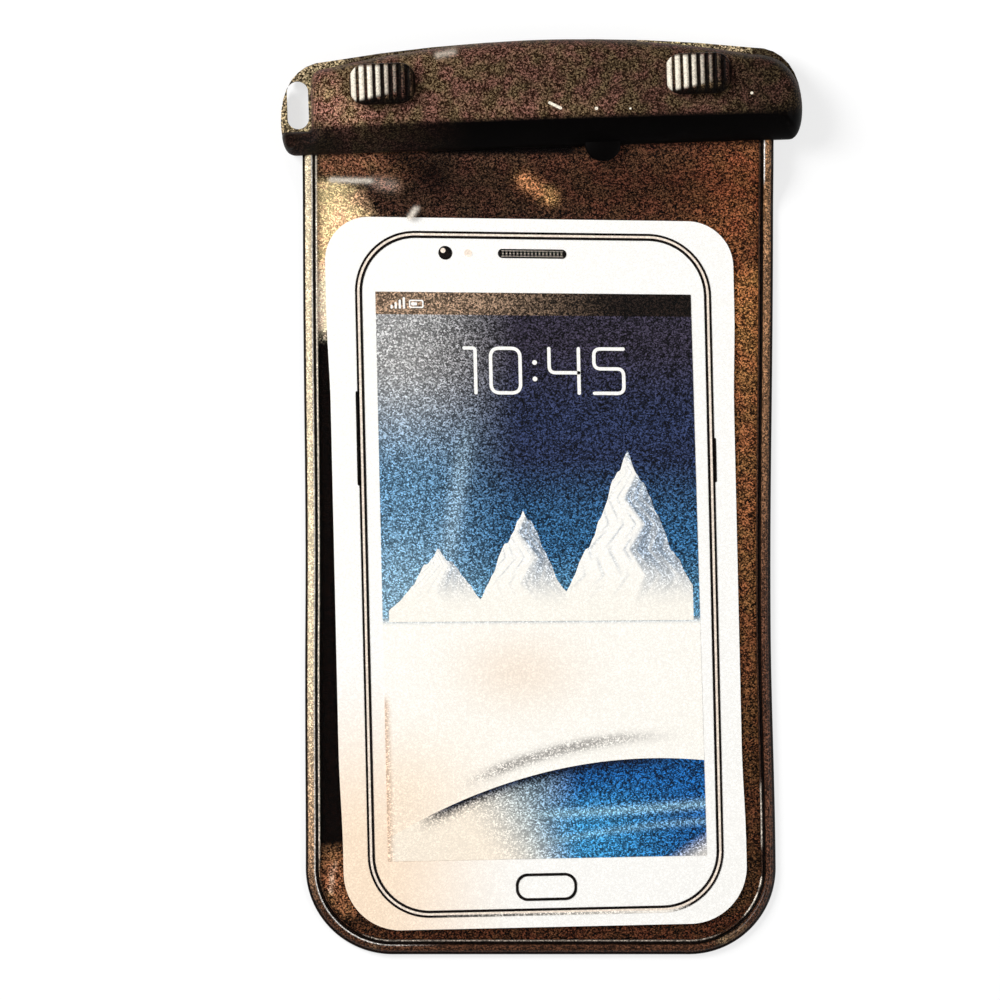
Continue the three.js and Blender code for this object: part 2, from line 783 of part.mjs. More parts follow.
const clockY = screenHigh - clockDrop;
[1, 0, 4, 5].forEach((digit, i) => {
  const besideColon = (i < 2 ? -1 : 1) * clockStroke * 2;
  const x = (i - 1.5) * clockPitch + besideColon;
  place(print, "print_numeral_" + (i + 1), numeral(digit, x, clockY), finishes.white);
});
for (const [name, sign] of [
  ["upper", 1],
  ["lower", -1],
]) {
  const dot = printed(disc(0, clockY + sign * clockHeight * 0.17, clockStroke * 0.7), 1);
  place(print, "print_colon_" + name, dot, finishes.white);
}

// The origin is under the middle of the pouch's footprint, on the surface that it lies on.
const pouch = new THREE.Group();
const box = new THREE.Box3().setFromObject(part, true);
const centre = box.getCenter(new THREE.Vector3());
part.position.set(-centre.x, -centre.y, -box.min.z);
pouch.add(part);

export default pouch;
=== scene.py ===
import json
import math

import bmesh
import bpy
import numpy as np
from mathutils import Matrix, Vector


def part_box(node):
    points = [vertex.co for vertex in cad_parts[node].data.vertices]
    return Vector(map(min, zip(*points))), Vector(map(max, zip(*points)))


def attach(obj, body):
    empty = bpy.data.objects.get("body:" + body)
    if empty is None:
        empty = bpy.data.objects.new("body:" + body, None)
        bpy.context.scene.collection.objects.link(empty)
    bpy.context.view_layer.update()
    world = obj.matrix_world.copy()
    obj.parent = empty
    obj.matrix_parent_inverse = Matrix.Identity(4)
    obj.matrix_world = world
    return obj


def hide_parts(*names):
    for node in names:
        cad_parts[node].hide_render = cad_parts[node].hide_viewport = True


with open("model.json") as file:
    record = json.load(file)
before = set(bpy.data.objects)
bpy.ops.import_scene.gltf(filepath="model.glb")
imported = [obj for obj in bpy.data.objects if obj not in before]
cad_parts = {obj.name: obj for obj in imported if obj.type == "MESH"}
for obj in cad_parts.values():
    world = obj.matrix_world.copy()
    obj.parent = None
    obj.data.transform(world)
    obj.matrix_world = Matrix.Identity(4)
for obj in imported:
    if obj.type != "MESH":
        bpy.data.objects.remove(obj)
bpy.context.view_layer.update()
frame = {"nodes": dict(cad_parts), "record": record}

# Camera
# The pouch lies on its back and is seen from straight above, from far off through a long lens.
# The picture takes in 218.8 mm of the surface, a little to the left of the pouch's middle.
picture_width = 218.8
camera_height = 4000
lens = bpy.data.cameras.new("camera")
lens.sensor_width = 36
lens.lens = lens.sensor_width * (camera_height - 2) / picture_width
camera = bpy.data.objects.new("camera", lens)
camera.location = (-0.00908, -0.00066, camera_height / 1000)
bpy.context.collection.objects.link(camera)
bpy.context.scene.camera = camera


# Studio
# A plain white table top under a soft box on the left behind the clamp, with a dim pale room
# round it. The table keeps the pouch's shadow and stays near white to the eye.
def linear(code):
    """A sRGB hex colour as linear red, green and blue."""
    value = np.array([int(code[i : i + 2], 16) for i in (1, 3, 5)]) / 255
    return np.where(value <= 0.04045, value / 12.92, ((value + 0.055) / 1.055) ** 2.4)


def paint(code):
    """A sRGB hex colour as a socket takes it."""
    return (*linear(code), 1)


def add(tree, kind, inputs, **settings):
    """A node with its settings made, its sockets linked to other nodes' outputs or given values."""
    node = tree.nodes.new("ShaderNode" + kind)
    for key, value in settings.items():
        setattr(node, key, value)
    for key, value in inputs.items():
        if isinstance(value, bpy.types.NodeSocket):
            tree.links.new(value, node.inputs[key])
        else:
            node.inputs[key].default_value = value
    return node


def blank(name):
    """A material with no nodes yet, and its tree."""
    material = bpy.data.materials.new(name)
    material.use_nodes = True
    material.node_tree.nodes.clear()
    return material, material.node_tree


table_paper, tree = blank("white_table_paper")
seen = add(tree, "LightPath", {}).outputs
direct = add(tree, "Math", {0: seen["Is Camera Ray"], 1: seen["Is Glossy Ray"]}, operation="MAXIMUM")
direct = add(tree, "Math", {0: direct.outputs[0], 1: seen["Is Transmission Ray"]}, operation="MAXIMUM")
glow = add(tree, "Math", {0: direct.outputs[0], 1: 0.7}, operation="MULTIPLY")
matt = add(tree, "BsdfDiffuse", {"Color": paint("#999999")})
lit = add(tree, "Emission", {"Color": paint("#ffffff"), "Strength": glow.outputs[0]})
both = add(tree, "AddShader", {0: matt.outputs[0], 1: lit.outputs[0]})
add(tree, "OutputMaterial", {"Surface": both.outputs[0]})

table_mesh = bpy.data.meshes.new("table_top")
reach = 3.0
corners = [(-reach, -reach, 0), (reach, -reach, 0), (reach, reach, 0), (-reach, reach, 0)]
table_mesh.from_pydata(corners, [], [(0, 1, 2, 3)])
table_mesh.materials.append(table_paper)
table_top = bpy.data.objects.new("table_top", table_mesh)
bpy.context.collection.objects.link(table_top)

world = bpy.data.worlds.new("room")
world.use_nodes = True
tree = world.node_tree
tree.nodes.clear()
sky = add(tree, "TexCoord", {})
up = add(tree, "SeparateXYZ", {0: sky.outputs["Generated"]})
near_table = {"From Min": 0.05, "From Max": 0.16, "To Min": 0.85, "To Max": 0.2}
level = add(tree, "MapRange", {"Value": up.outputs["Z"], **near_table})
room = add(tree, "Background", {"Color": (1, 1, 1, 1), "Strength": level.outputs[0]})
add(tree, "OutputWorld", {"Surface": room.outputs[0]})
bpy.context.scene.world = world
bpy.context.scene.view_settings.view_transform = "Standard"


def soft_box(name, place, width, height, power):
    """An area lamp at a place in metres, turned to face the pouch."""
    lamp = bpy.data.lights.new(name, "AREA")
    lamp.shape = "RECTANGLE"
    lamp.size = width
    lamp.size_y = height
    lamp.energy = power
    holder = bpy.data.objects.new(name, lamp)
    holder.location = place
    holder.rotation_euler = (-holder.location).to_track_quat("-Z", "Y").to_euler()
    bpy.context.collection.objects.link(holder)


soft_box("soft_box_left", (-0.75, 0.45, 0.75), 0.6, 0.6, 14.0)
soft_box("soft_box_right", (0.85, -0.3, 0.8), 0.6, 0.6, 5.5)


# Rear bar of the clamp
# Injection-moulded black ABS with rounded ends, the lanyard eye at its left end and a pocket
# behind each latch. It is one moulding with the locating pegs and the rib under the films.
def grained(tree, place):
    """A fine grain: cells of 0.26 mm, coarser than the real one so that it shows, each with a random
    value r, of which 3.5 r^2.5 has the mean 1 and leaves most cells dark and a few bright. The cells
    come too, for a bump."""
    cells = add(tree, "TexVoronoi", {"Vector": place.outputs["Object"], "Scale": 3800.0})
    random = add(tree, "SeparateColor", {0: cells.outputs["Color"]})
    skewed = add(tree, "Math", {0: random.outputs[0], 1: 2.5}, operation="POWER")
    return add(tree, "Math", {0: skewed.outputs[0], 1: 3.5}, operation="MULTIPLY"), cells


def moulded_abs(name, rosy, olive, along=()):
    """Moulded ABS: nearly black, with a fine spark-eroded grain that scatters the light brownish and
    faint clouds of two hues. Where a piece says so it gets painted light, shade and highlights.

    along holds a tone of painted shade for places in mm from left to right: 0 for near black, 1 for the full
    colour.
    """
    material, tree = blank(name)
    place = add(tree, "TexCoord", {})
    speck, cells = grained(tree, place)
    share = add(tree, "Math", {0: speck.outputs[0], 1: 0.3}, operation="MULTIPLY")
    cloud = add(tree, "TexNoise", {"Vector": place.outputs["Object"], "Scale": 230.0, "Detail": 3.0})
    hue = add(tree, "MapRange", {"Value": cloud.outputs["Fac"], "From Min": 0.4, "From Max": 0.6})
    warm = add(tree, "Mix", {0: hue.outputs[0], 6: paint(rosy), 7: paint(olive)}, data_type="RGBA")
    if along:
        side = add(tree, "SeparateXYZ", {0: place.outputs["Object"]})
        across = add(tree, "MapRange", {"Value": side.outputs["X"], "From Min": -0.06, "From Max": 0.06})
        tones = add(tree, "ValToRGB", {"Fac": across.outputs[0]})
        for i, (x, tone) in enumerate(along):
            stop = tones.color_ramp.elements[i] if i < 2 else tones.color_ramp.elements.new(1.0)
            stop.position = (x + 60) / 120
            stop.color = (tone, tone, tone, 1)
        tinged = {0: tones.outputs["Color"], 6: paint("#1c0b05"), 7: warm.outputs[2]}
        warm = add(tree, "Mix", tinged, data_type="RGBA")
    specked = {0: share.outputs[0], 6: paint("#140600"), 7: warm.outputs[2]}
    body = add(tree, "Mix", specked, data_type="RGBA", clamp_factor=False)
    painted_light_and_shade = add(tree, "Attribute", {}, attribute_name="painted_light_and_shade")
    gain = add(tree, "Math", {0: painted_light_and_shade.outputs["Fac"], 1: 1.0}, operation="ADD").outputs[0]
    grey = add(tree, "CombineColor", {0: gain, 1: gain, 2: gain})
    lighter = {0: 1.0, 6: body.outputs[2], 7: grey.outputs[0]}
    body = add(tree, "Mix", lighter, data_type="RGBA", blend_type="MULTIPLY")
    painted_shade = add(tree, "Attribute", {}, attribute_name="painted_shade")
    darker = {0: painted_shade.outputs["Fac"], 6: body.outputs[2], 7: paint("#020101")}
    body = add(tree, "Mix", darker, data_type="RGBA")
    painted_highlight = add(tree, "Attribute", {}, attribute_name="painted_highlight")
    rough = add(tree, "MapRange", {"Value": speck.outputs[0], "To Min": 0.7, "To Max": 1.1})
    highlight_share = {0: painted_highlight.outputs["Fac"], 1: rough.outputs[0]}
    highlight_share = add(tree, "Math", highlight_share, operation="MULTIPLY", use_clamp=True)
    body = add(tree, "Mix", {0: highlight_share.outputs[0], 6: body.outputs[2], 7: paint("#fbf1de")}, data_type="RGBA")
    bump = add(tree, "Bump", {"Height": cells.outputs["Distance"], "Strength": 0.25, "Distance": 0.00004})
    finish = {"Roughness": 0.5, "Specular IOR Level": 0.04, "Normal": bump.outputs["Normal"]}
    shader = add(tree, "BsdfPrincipled", {"Base Color": body.outputs[2], **finish})
    add(tree, "OutputMaterial", {"Surface": shader.outputs[0]})
    return material


# Painted light and shade: its edge is pale tan at both ends, lit where the front bar doesn't shade it, and
# darker between them.
lit_ends = [(-55, 1.0), (-43.5, 1.0), (-41.5, 0.25), (19, 0.25), (23, 1.0), (45, 1.0), (46.5, 0.1)]
rear_abs = moulded_abs("moulded_rear_abs", "#ffe2b4", "#eed9a4", lit_ends)


def moulding(name, node, material, body, edge):
    """A copy of a CAD node with its triangles joined into flat faces and its edges rounded."""
    joined = bmesh.new()
    joined.from_mesh(frame["nodes"][node].data)
    bmesh.ops.remove_doubles(joined, verts=joined.verts, dist=1e-6)
    bmesh.ops.dissolve_limit(joined, angle_limit=math.radians(0.5), verts=joined.verts, edges=joined.edges)
    mesh = bpy.data.meshes.new(name)
    joined.to_mesh(mesh)
    joined.free()
    mesh.polygons.foreach_set("use_smooth", [True] * len(mesh.polygons))
    mesh.materials.append(material)
    made = bpy.data.objects.new(name, mesh)
    bpy.context.collection.objects.link(made)
    rounding = made.modifiers.new("edge", "BEVEL")
    rounding.width = edge / 1000
    rounding.segments = 3
    rounding.limit_method = "ANGLE"
    rounding.angle_limit = math.radians(32)
    rounding.harden_normals = True
    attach(made, body)
    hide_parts(node)
    return made


moulding("rear_bar_moulding", "rear_bar", rear_abs, "pouch", 0.3)


# Back film
# Dark flexible sheet, 0.4 mm thick, that lies on the table and climbs to the clamp, which
# presses it. It is brown-black and glossy, with painted light where light gets in between the
# films and on creases, and painted shade under the clamp and along a fold.
bag_x = float(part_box("back_film")[0].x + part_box("back_film")[1].x) * 500
bag_y = float(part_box("back_film")[1].y) * 1000 - 8.5
bag_length = 176.5
rim_width = 3.2
bag_half = 51.3
bag_corner = 19.0
into_weld = 0.15
film_half = bag_half - rim_width + into_weld
film_corner = bag_corner - rim_width + into_weld
film_bottom = -bag_length + rim_width - into_weld
film_thickness = 0.4
slope_low, slope_high = -14.03, -2.03


def quads(rows, columns, ring=False):
    """Four-sided faces over a grid of points, whose last column joins the first in a ring."""
    across = np.arange(columns if ring else columns - 1)
    start = np.arange(rows - 1)[:, None] * columns
    beside = (across + 1) % columns
    above = start + columns
    return np.stack([start + across, start + beside, above + beside, above + across], -1).reshape(-1, 4)


def piece(name, shells, material, body, nodes=(), smooth=True, marks=None, tint=None):
    """A mesh object of one or more shells of points, in millimetres, and four-sided faces.

    marks holds one number for each point under a name; tint holds a colour for each point.
    """
    mesh = bpy.data.meshes.new(name)
    points = np.concatenate([shell[0].reshape(-1, 3) for shell in shells]) / 1000
    starts = np.cumsum([0] + [shell[0].reshape(-1, 3).shape[0] for shell in shells])
    faces = np.concatenate([shell[1] + start for shell, start in zip(shells, starts)])
    mesh.from_pydata(points.tolist(), [], faces.tolist())
    for key, values in (marks or {}).items():
        layer = mesh.attributes.new(key, "FLOAT", "POINT")
        layer.data.foreach_set("value", np.ravel(values).astype(np.float32))
    if tint is not None:
        layer = mesh.color_attributes.new("tint", "FLOAT_COLOR", "POINT")
        colours = np.ones((len(points), 4), np.float32)
        colours[:, :3] = tint.reshape(-1, 3)
        layer.data.foreach_set("color", colours.ravel())
    mesh.polygons.foreach_set("use_smooth", [smooth] * len(mesh.polygons))
    mesh.materials.append(material)
    mesh.validate()
    made = bpy.data.objects.new(name, mesh)
    bpy.context.collection.objects.link(made)
    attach(made, body)
    if nodes:
        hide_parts(*nodes)
    return made


def mix(a, b, share):
    """From a to b as the share goes from 0 to 1, for numbers or for colours."""
    share = np.asarray(share, float)
    if np.ndim(a) and np.shape(a)[-1:] == (3,) and share.shape[-1:] != (3,):
        share = share[..., None]
    return a + (b - a) * share


def coated(colour, *coats):
    """A colour under coats of others, laid one after the other, each with the share that it covers."""
    for coat, share in coats:
        colour = mix(colour, linear(coat) if isinstance(coat, str) else coat, share)
    return colour


def rise(low, high, value):
    """0 below low, 1 above high, with a smooth climb between (3t² - 2t³)."""
    t = np.clip((np.asarray(value, float) - low) / (high - low), 0, 1)
    return t * t * (3 - 2 * t)


def half_width(y, half, corner, bottom):
    """Half the width of a strip with straight sides and round lower corners: the circle's chord
    within one corner radius of the bottom, and the whole half width above it."""
    fall = np.clip(corner - (y - bottom), 0, corner)
    return half - corner + np.sqrt(corner**2 - fall**2)


def climb(y):
    """How far the films have risen towards the clamp: 0 on the table, 1 at the clamp's mouth."""
    return rise(slope_low, slope_high, y)


def film_plan(columns, rows):
    """Places over the bag's plan: x is a share of the half width at each height, and the heights
    are closer together round the lower corners and below the clamp."""
    corner = film_bottom + film_corner * (1 - np.cos(np.linspace(0, np.pi / 2, rows // 4)))
    middle = np.linspace(film_bottom + film_corner, -26, rows // 3)[1:]
    top = np.linspace(-26, 8.5, rows // 2)[1:]
    y = np.concatenate([corner, middle, top])[:, None]
    x = np.linspace(-1, 1, columns) * half_width(y, film_half, film_corner, film_bottom)
    return x, y + 0 * x


def streak(x, y, start, end, width):
    """1 along the line from start to end, falling off as a bell curve over the width beside it."""
    start, end = np.array(start, float), np.array(end, float)
    along = end - start
    t = ((x - start[0]) * along[0] + (y - start[1]) * along[1]) / max(along @ along, 1e-9)
    t = np.clip(t, 0, 1)
    away = (x - start[0] - t * along[0]) ** 2 + (y - start[1] - t * along[1]) ** 2
    return np.exp(-away / width**2)


def in_bag(x, y, z):
    """Points of the bag's own frame, in the pouch's frame. The soft bag is drawn in by 0.8% at the
    middle of its sides, x (1.004 - 0.012 exp(-((y + 92) / 45)²)), and lies 0.6 mm over at its foot."""
    waist = 1.004 - 0.012 * np.exp(-(((y + 92) / 45) ** 2))
    return np.stack([x * waist + bag_x + 0.6 * rise(-105, -160, y), y + bag_y, z + 0 * x], -1)


film_x, film_y = film_plan(120, 210)
left_glare = rise(-35, -43, film_x + (film_y + 12) * 0.5) * rise(-43, -38, film_y) * rise(-6.0, -8.0, film_y)
side_left = rise(-39, -41, film_x)
side_right = rise(37, 41, film_x) * rise(-24, -30, film_y)
strip = mix(linear("#432a1a"), linear("#724b2f"), rise(-150, -70, film_y))
strip = mix(strip, linear("#8c5f39"), rise(-60, -25, film_y))
back_tint = coated(
    mix(linear("#3a281f"), linear("#42291d"), rise(-30, 30, film_x)),
    # the neck: painted light at its upper corners, a painted shadow under the clamp, painted shade along a fold,
    # and darker above the card
    ("#6b4029", streak(film_x, film_y, (46, -6), (42, -24), 10)),
    ("#7a563f", rise(-22, -32, film_x) * rise(-9, -4, film_y) * 0.8),
    ("#100705", streak(film_x, film_y, (-31, -2), (-22, -6), 4.2) * 0.85),
    ("#050202", rise(-28, -18, film_x) * rise(10, 7, film_x) * rise(-2.2, -0.9, film_y)),
    ("#2b1d17", streak(film_x, film_y, (-26, -17), (8, -17), 4) * 0.6),
    # painted highlights on creases that catch the light, and painted light on the tan upper left where light
    # gets in
    ("#c08e60", streak(film_x, film_y, (-3.4, -7.0), (2.6, -10.8), 1.6) * 0.85),
    ("#a3786a", streak(film_x, film_y, (-35, -7.8), (-31.2, -8.6), 1.1) * 0.7),
    ("#edcda0", left_glare),
    # the strips beside the card, and the foot
    ("#080302", side_left * rise(-39, -42, film_y) * rise(-154.5, -152.5, film_y)),
    ("#7a5237", side_left * rise(-152.5, -155, film_y) * 0.9),
    (strip, side_right),
    ("#3d2316", rise(-166, -170, film_y)),
    # a painted highlight along the film's edge near the lower left corner
    ("#cbb59a", streak(film_x, film_y, (-45.3, -157.5), (-45.9, -163), 0.35) * 0.8),
    # painted glare, near white, at the top of the tan upper left
    ("#fff2da", left_glare * rise(-22, -32, film_y) * 0.85),
)


def mottled(tree, place, source, dark, light):
    """A colour under that grain, which is stronger where the colour is dark than where it's light."""
    speck, cells = grained(tree, place)
    lightness = add(tree, "RGBToBW", {0: source})
    span = {"From Max": 0.85, "To Min": dark, "To Max": light}
    share = add(tree, "MapRange", {"Value": lightness.outputs[0], **span})
    about_one = add(tree, "Math", {0: speck.outputs[0], 1: 1.0}, operation="SUBTRACT")
    gain = {0: about_one.outputs[0], 1: share.outputs[0], 2: 1.0}
    gain = add(tree, "Math", gain, operation="MULTIPLY_ADD").outputs[0]
    grey = add(tree, "CombineColor", {0: gain, 1: gain, 2: gain})
    body = add(tree, "Mix", {0: 1.0, 6: source, 7: grey.outputs[0]}, data_type="RGBA", blend_type="MULTIPLY")
    return body.outputs[2], cells


# Plasticised vinyl, tinted dark brown and calendered glossy: faint clouds of two hues, and a grain
# of 0.26 mm that is drawn coarser than the real one.
back_vinyl, tree = blank("dark_vinyl_film")
place = add(tree, "TexCoord", {})
tinted = add(tree, "Attribute", {}, attribute_name="tint")
cloud = add(tree, "TexNoise", {"Vector": place.outputs["Object"], "Scale": 210.0, "Detail": 3.0})
hue = add(tree, "MapRange", {"Value": cloud.outputs["Fac"], "From Min": 0.4, "From Max": 0.6})
rosy, olive = (1.1, 0.95, 0.97, 1), (0.95, 1.03, 0.95, 1)
warm = add(tree, "Mix", {0: hue.outputs[0], 6: rosy, 7: olive}, data_type="RGBA")
tinged = {0: 1.0, 6: tinted.outputs["Color"], 7: warm.outputs[2]}
body = add(tree, "Mix", tinged, data_type="RGBA", blend_type="MULTIPLY")
body, cells = mottled(tree, place, body.outputs[2], 1.05, 0.35)
bump = add(tree, "Bump", {"Height": cells.outputs["Distance"], "Strength": 0.25, "Distance": 0.00004})
finish = {"Roughness": 0.42, "Specular IOR Level": 0.05, "Normal": bump.outputs["Normal"]}
shader = add(tree, "BsdfPrincipled", {"Base Color": body, **finish})
add(tree, "OutputMaterial", {"Surface": shader.outputs[0]})


def sheet(name, points, thickness, material, nodes, marks=None, tint=None):
    """A thin closed sheet: the grid of its upper side, with a wall of even thickness under it."""
    grid = (points, quads(*points.shape[:2]))
    made = piece(name, [grid], material, "pouch", nodes, True, marks, tint)
    mesh = made.data
    used = np.zeros(len(mesh.loops), np.int32)
    mesh.loops.foreach_get("edge_index", used)
    border = np.bincount(used, minlength=len(mesh.edges)) == 1
    mesh.attributes.new("sharp_edge", "BOOLEAN", "EDGE").data.foreach_set("value", border)
    wall = made.modifiers.new("thickness", "SOLIDIFY")
    wall.thickness = thickness / 1000
    wall.offset = -1
    return made


back_neck = 5.9
back_top = film_thickness + (back_neck - film_thickness) * climb(film_y)
back_points = in_bag(film_x, film_y, back_top)
sheet("back_film_sheet", back_points, film_thickness, back_vinyl, ["back_film"], tint=back_tint)


# Insert card
# White coated board, 0.5 mm thick, die-cut with round corners. It lies loose and a little
# askew between the films, and a life-size phone front is printed on it.
card_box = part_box("insert_card")
card_turn = math.radians(1.3)
card_x = bag_x - 0.4
card_y = float(card_box[0].y + card_box[1].y) * 500
card_width = 89.3
card_length = 155.0
card_face = 1.1
foot_corner, top_corner = 12.6, 9.8


def turned(points, angle, x, y):
    """Points turned about the vertical by an angle and then moved by x and y."""
    points = np.asarray(points, float)
    moved = points.copy()
    moved[..., 0] = x + points[..., 0] * math.cos(angle) - points[..., 1] * math.sin(angle)
    moved[..., 1] = y + points[..., 0] * math.sin(angle) + points[..., 1] * math.cos(angle)
    return moved


def on_card(points):
    """Points of the card's own frame, about its centre, in the pouch's frame. The card was cut and
    printed a little out of square: lines across it slant by up to 0.036 towards its top."""
    cut = np.asarray(points, float).copy()
    cut[..., 1] -= cut[..., 0] * 0.036 * np.clip((cut[..., 1] + 75) / 150, 0, 1.05)
    return turned(cut, card_turn, card_x, card_y)


def card_half(y):
    """Half the card's width: straight sides, with larger round corners below than above, and up to
    1.2% narrower below its top."""
    low = half_width(y, card_width / 2, foot_corner, -card_length / 2)
    high = half_width(-y, card_width / 2, top_corner, -card_length / 2)
    return np.minimum(low, high) * (1 - 0.012 * rise(58, 36, y))


# Solid bleached board with a clay coat: white, a little creamy and pink towards its lower left.
board, tree = blank("coated_white_board")
tinted = add(tree, "Attribute", {}, attribute_name="tint")
place = add(tree, "TexCoord", {})
body, _ = mottled(tree, place, tinted.outputs["Color"], 0.3, 0.05)
finish = {"Roughness": 0.5, "Specular IOR Level": 0.3}
shader = add(tree, "BsdfPrincipled", {"Base Color": body, **finish})
add(tree, "OutputMaterial", {"Surface": shader.outputs[0]})

rows = np.concatenate(
    [
        -card_length / 2 + foot_corner * (1 - np.cos(np.linspace(0, np.pi / 2, 24))),
        np.linspace(-card_length / 2 + foot_corner, card_length / 2 - top_corner, 60)[1:-1],
        card_length / 2 - top_corner * (1 - np.cos(np.linspace(np.pi / 2, 0, 24))),
    ]
)[:, None]
card_u = np.linspace(-1, 1, 60) * card_half(rows) + 0.5 * rise(-38, -60, rows)
card_v = rows + 0 * card_u
cream = rise(0, -38, card_u) * rise(-15, -60, card_v)
card_tint = mix(linear("#fcfbf9"), linear("#fae3cb"), cream)
placed = on_card(np.stack([card_u, card_v, card_v * 0 + card_face], -1))
sheet("card_board", placed, 0.5, board, ["insert_card"], tint=card_tint)


# Printed phone front
# Offset ink on the card, in fields and lines that lie one on the other: two fine outlines with a
# champagne band between, earpiece, sensor, lens, home key, side keys and the screen.
layer = 0.1
print_shift = 0.7
phone_width, phone_length = 77.9, 149.5
phone_y = -0.15
screen_width, screen_length = 69.0, 123.8
screen_low = -62.5
screen_high = screen_low + screen_length


def ink(name, code):
    """Offset ink: matt, and mottled like the card, strongly where it is dark and faintly where the
    white board shows through it."""
    material, tree = blank(name)
    place = add(tree, "TexCoord", {})
    if code:
        source = add(tree, "RGB", {}).outputs[0]
        source.default_value = paint(code)
    else:
        source = add(tree, "Attribute", {}, attribute_name="tint").outputs["Color"]
    body, _ = mottled(tree, place, source, 1.0, 0.06)
    shader = add(tree, "BsdfPrincipled", {"Base Color": body, "Roughness": 0.55, "Specular IOR Level": 0.1})
    add(tree, "OutputMaterial", {"Surface": shader.outputs[0]})
    return material


black_ink = ink("black_offset_ink", "#0d0706")
champagne_ink = ink("champagne_offset_ink", "#f3e4d6")
white_ink = ink("white_offset_ink", "#f9f8f6")
picture_ink = ink("picture_offset_ink", None)


def rounded_ring(x, y, width, height, radius, arc=24):
    """Points round a rectangle with round corners, counter-clockwise from the lower left."""
    turn = np.linspace(0, np.pi / 2, arc)
    corners = [(-1, -1, np.pi), (1, -1, 1.5 * np.pi), (1, 1, 0.0), (-1, 1, 0.5 * np.pi)]
    parts = []
    for i, j, start in corners:
        cx, cy = x + i * (width / 2 - radius), y + j * (height / 2 - radius)
        parts.append(np.stack([cx + radius * np.cos(start + turn), cy + radius * np.sin(start + turn)], -1))
    return np.concatenate(parts)


def lifted(ring, z):
    """Plane points at a height."""
    return np.concatenate([ring, np.full((len(ring), 1), float(z))], -1)


def outward(points, faces):
    """Faces turned round if the closed shape they make has a negative volume."""
    corners = points[faces]
    volume = 0.0
    for i in range(1, faces.shape[1] - 1):
        volume += np.einsum("ij,ij->", corners[:, 0], np.cross(corners[:, i], corners[:, i + 1]))
    return faces if volume >= 0 else faces[:, ::-1]


def band_shell(outer, inner, low, high):
    """A flat closed band between two outlines of as many points, from one height to another."""
    start = lifted(outer, low)
    points = np.stack([start, lifted(outer, high), lifted(inner, high), lifted(inner, low), start])
    faces = quads(5, len(outer), ring=True)
    return points, outward(points.reshape(-1, 3), faces)


def disc_shell(ring, centre, low, high):
    """A flat closed plate inside an outline, fanned out from its centre or middle line."""
    loop = [lifted(centre, low), lifted(ring, low), lifted(ring, high), lifted(centre, high)]
    points = np.stack(loop)
    faces = quads(4, len(ring), ring=True)
    return points, outward(points.reshape(-1, 3), faces)


def printed(name, shells, material, nodes=(), tint=None):
    """A field of ink made in the print's own frame, which is the card's moved 0.7 mm to the right."""
    placed = [(on_card(points + [print_shift, 0, 0]), faces) for points, faces in shells]
    return piece(name, placed, material, "pouch", nodes, smooth=False, tint=tint)


def outline_ring(inset):
    """The printed phone's outline, drawn in evenly."""
    return rounded_ring(0, phone_y, phone_width - 2 * inset, phone_length - 2 * inset, 13.6 - inset, 40)


def outline_band(name, inset, line, material, node, tint=None):
    """A line of the printed phone's outline: how far in it starts, and how wide it is."""
    shell = band_shell(outline_ring(inset), outline_ring(inset + line), card_face, card_face + layer)
    printed(name, [shell], material, [node], None if tint is None else tint(shell[0]))


def fading(points):
    """The outer line: black, and faint in the middle of the phone's foot."""
    foot = rise(-72, -74, points[..., 1]) * rise(-20, -12, points[..., 0]) * rise(32, 26, points[..., 0])
    return mix(linear("#0d0706"), linear("#f4eee6"), foot)


outline_band("phone_outline_outer", 0, 0.5, picture_ink, "print_outline_outer", fading)
outline_band("phone_border", 0.5, 0.48, champagne_ink, "print_border")
outline_band("phone_outline_inner", 0.98, 0.58, black_ink, "print_outline_inner")


def pill(x, y, width, height, low=card_face, high=card_face + layer):
    """A plate with round ends, fanned out from the line between the ends' centres."""
    ring = rounded_ring(x, y, width, height, height / 2 - 0.01, 16)
    reach = max(width / 2 - height / 2, 0.0)
    middle = np.stack([np.clip(ring[:, 0], x - reach, x + reach), np.full(len(ring), y)], -1)
    return disc_shell(ring, middle, low, high)


ear_y = 69.9
over = (card_face + layer, card_face + 1.5 * layer)
printed("phone_earpiece", [pill(0, ear_y, 15, 2.0)], black_ink, ["print_earpiece"])
comb = [pill(x, ear_y, 0.32, 1.3, *over) for x in np.arange(-6.4, 6.5, 0.8)]
printed("phone_earpiece_mesh", comb, champagne_ink)
printed("phone_sensor", [pill(-14, ear_y, 1.7, 1.6)], champagne_ink, ["print_sensor"])
printed("phone_lens", [pill(-19, ear_y, 3.0, 3.0)], black_ink, ["print_lens"])
glint = pill(-19.5, ear_y + 0.5, 1.1, 1.1, *over)
printed("phone_lens_glint", [glint], champagne_ink)
home_y = (screen_low + phone_y - phone_length / 2) / 2
home_outer = rounded_ring(0, home_y, 13.4, 6, 2.6, 24)
home_inner = rounded_ring(0, home_y, 12.2, 4.8, 2.1, 24)
home = band_shell(home_outer, home_inner, card_face, card_face + layer)
printed("phone_home_key", [home], black_ink, ["print_home_key"])
keys = [pill(0, 0, 20.5, 0.66), pill(0, 0, 9.8, 0.62)]
for (points, _), x, y in zip(keys, (-phone_width / 2 - 0.05, phone_width / 2 + 0.05), (29.4, 24.8)):
    points[..., [0, 1]] = points[..., [1, 0]] * [-1, 1] + [x, y]
printed("phone_side_keys", keys, black_ink)


# The screen's picture: a calm evening sky over snowy hills, mist and a bay, made up for this part.
def zigzag(t):
    """A triangle wave between 0 and 1, with a period of 1."""
    return 2 * np.abs(t - np.floor(t + 0.5))


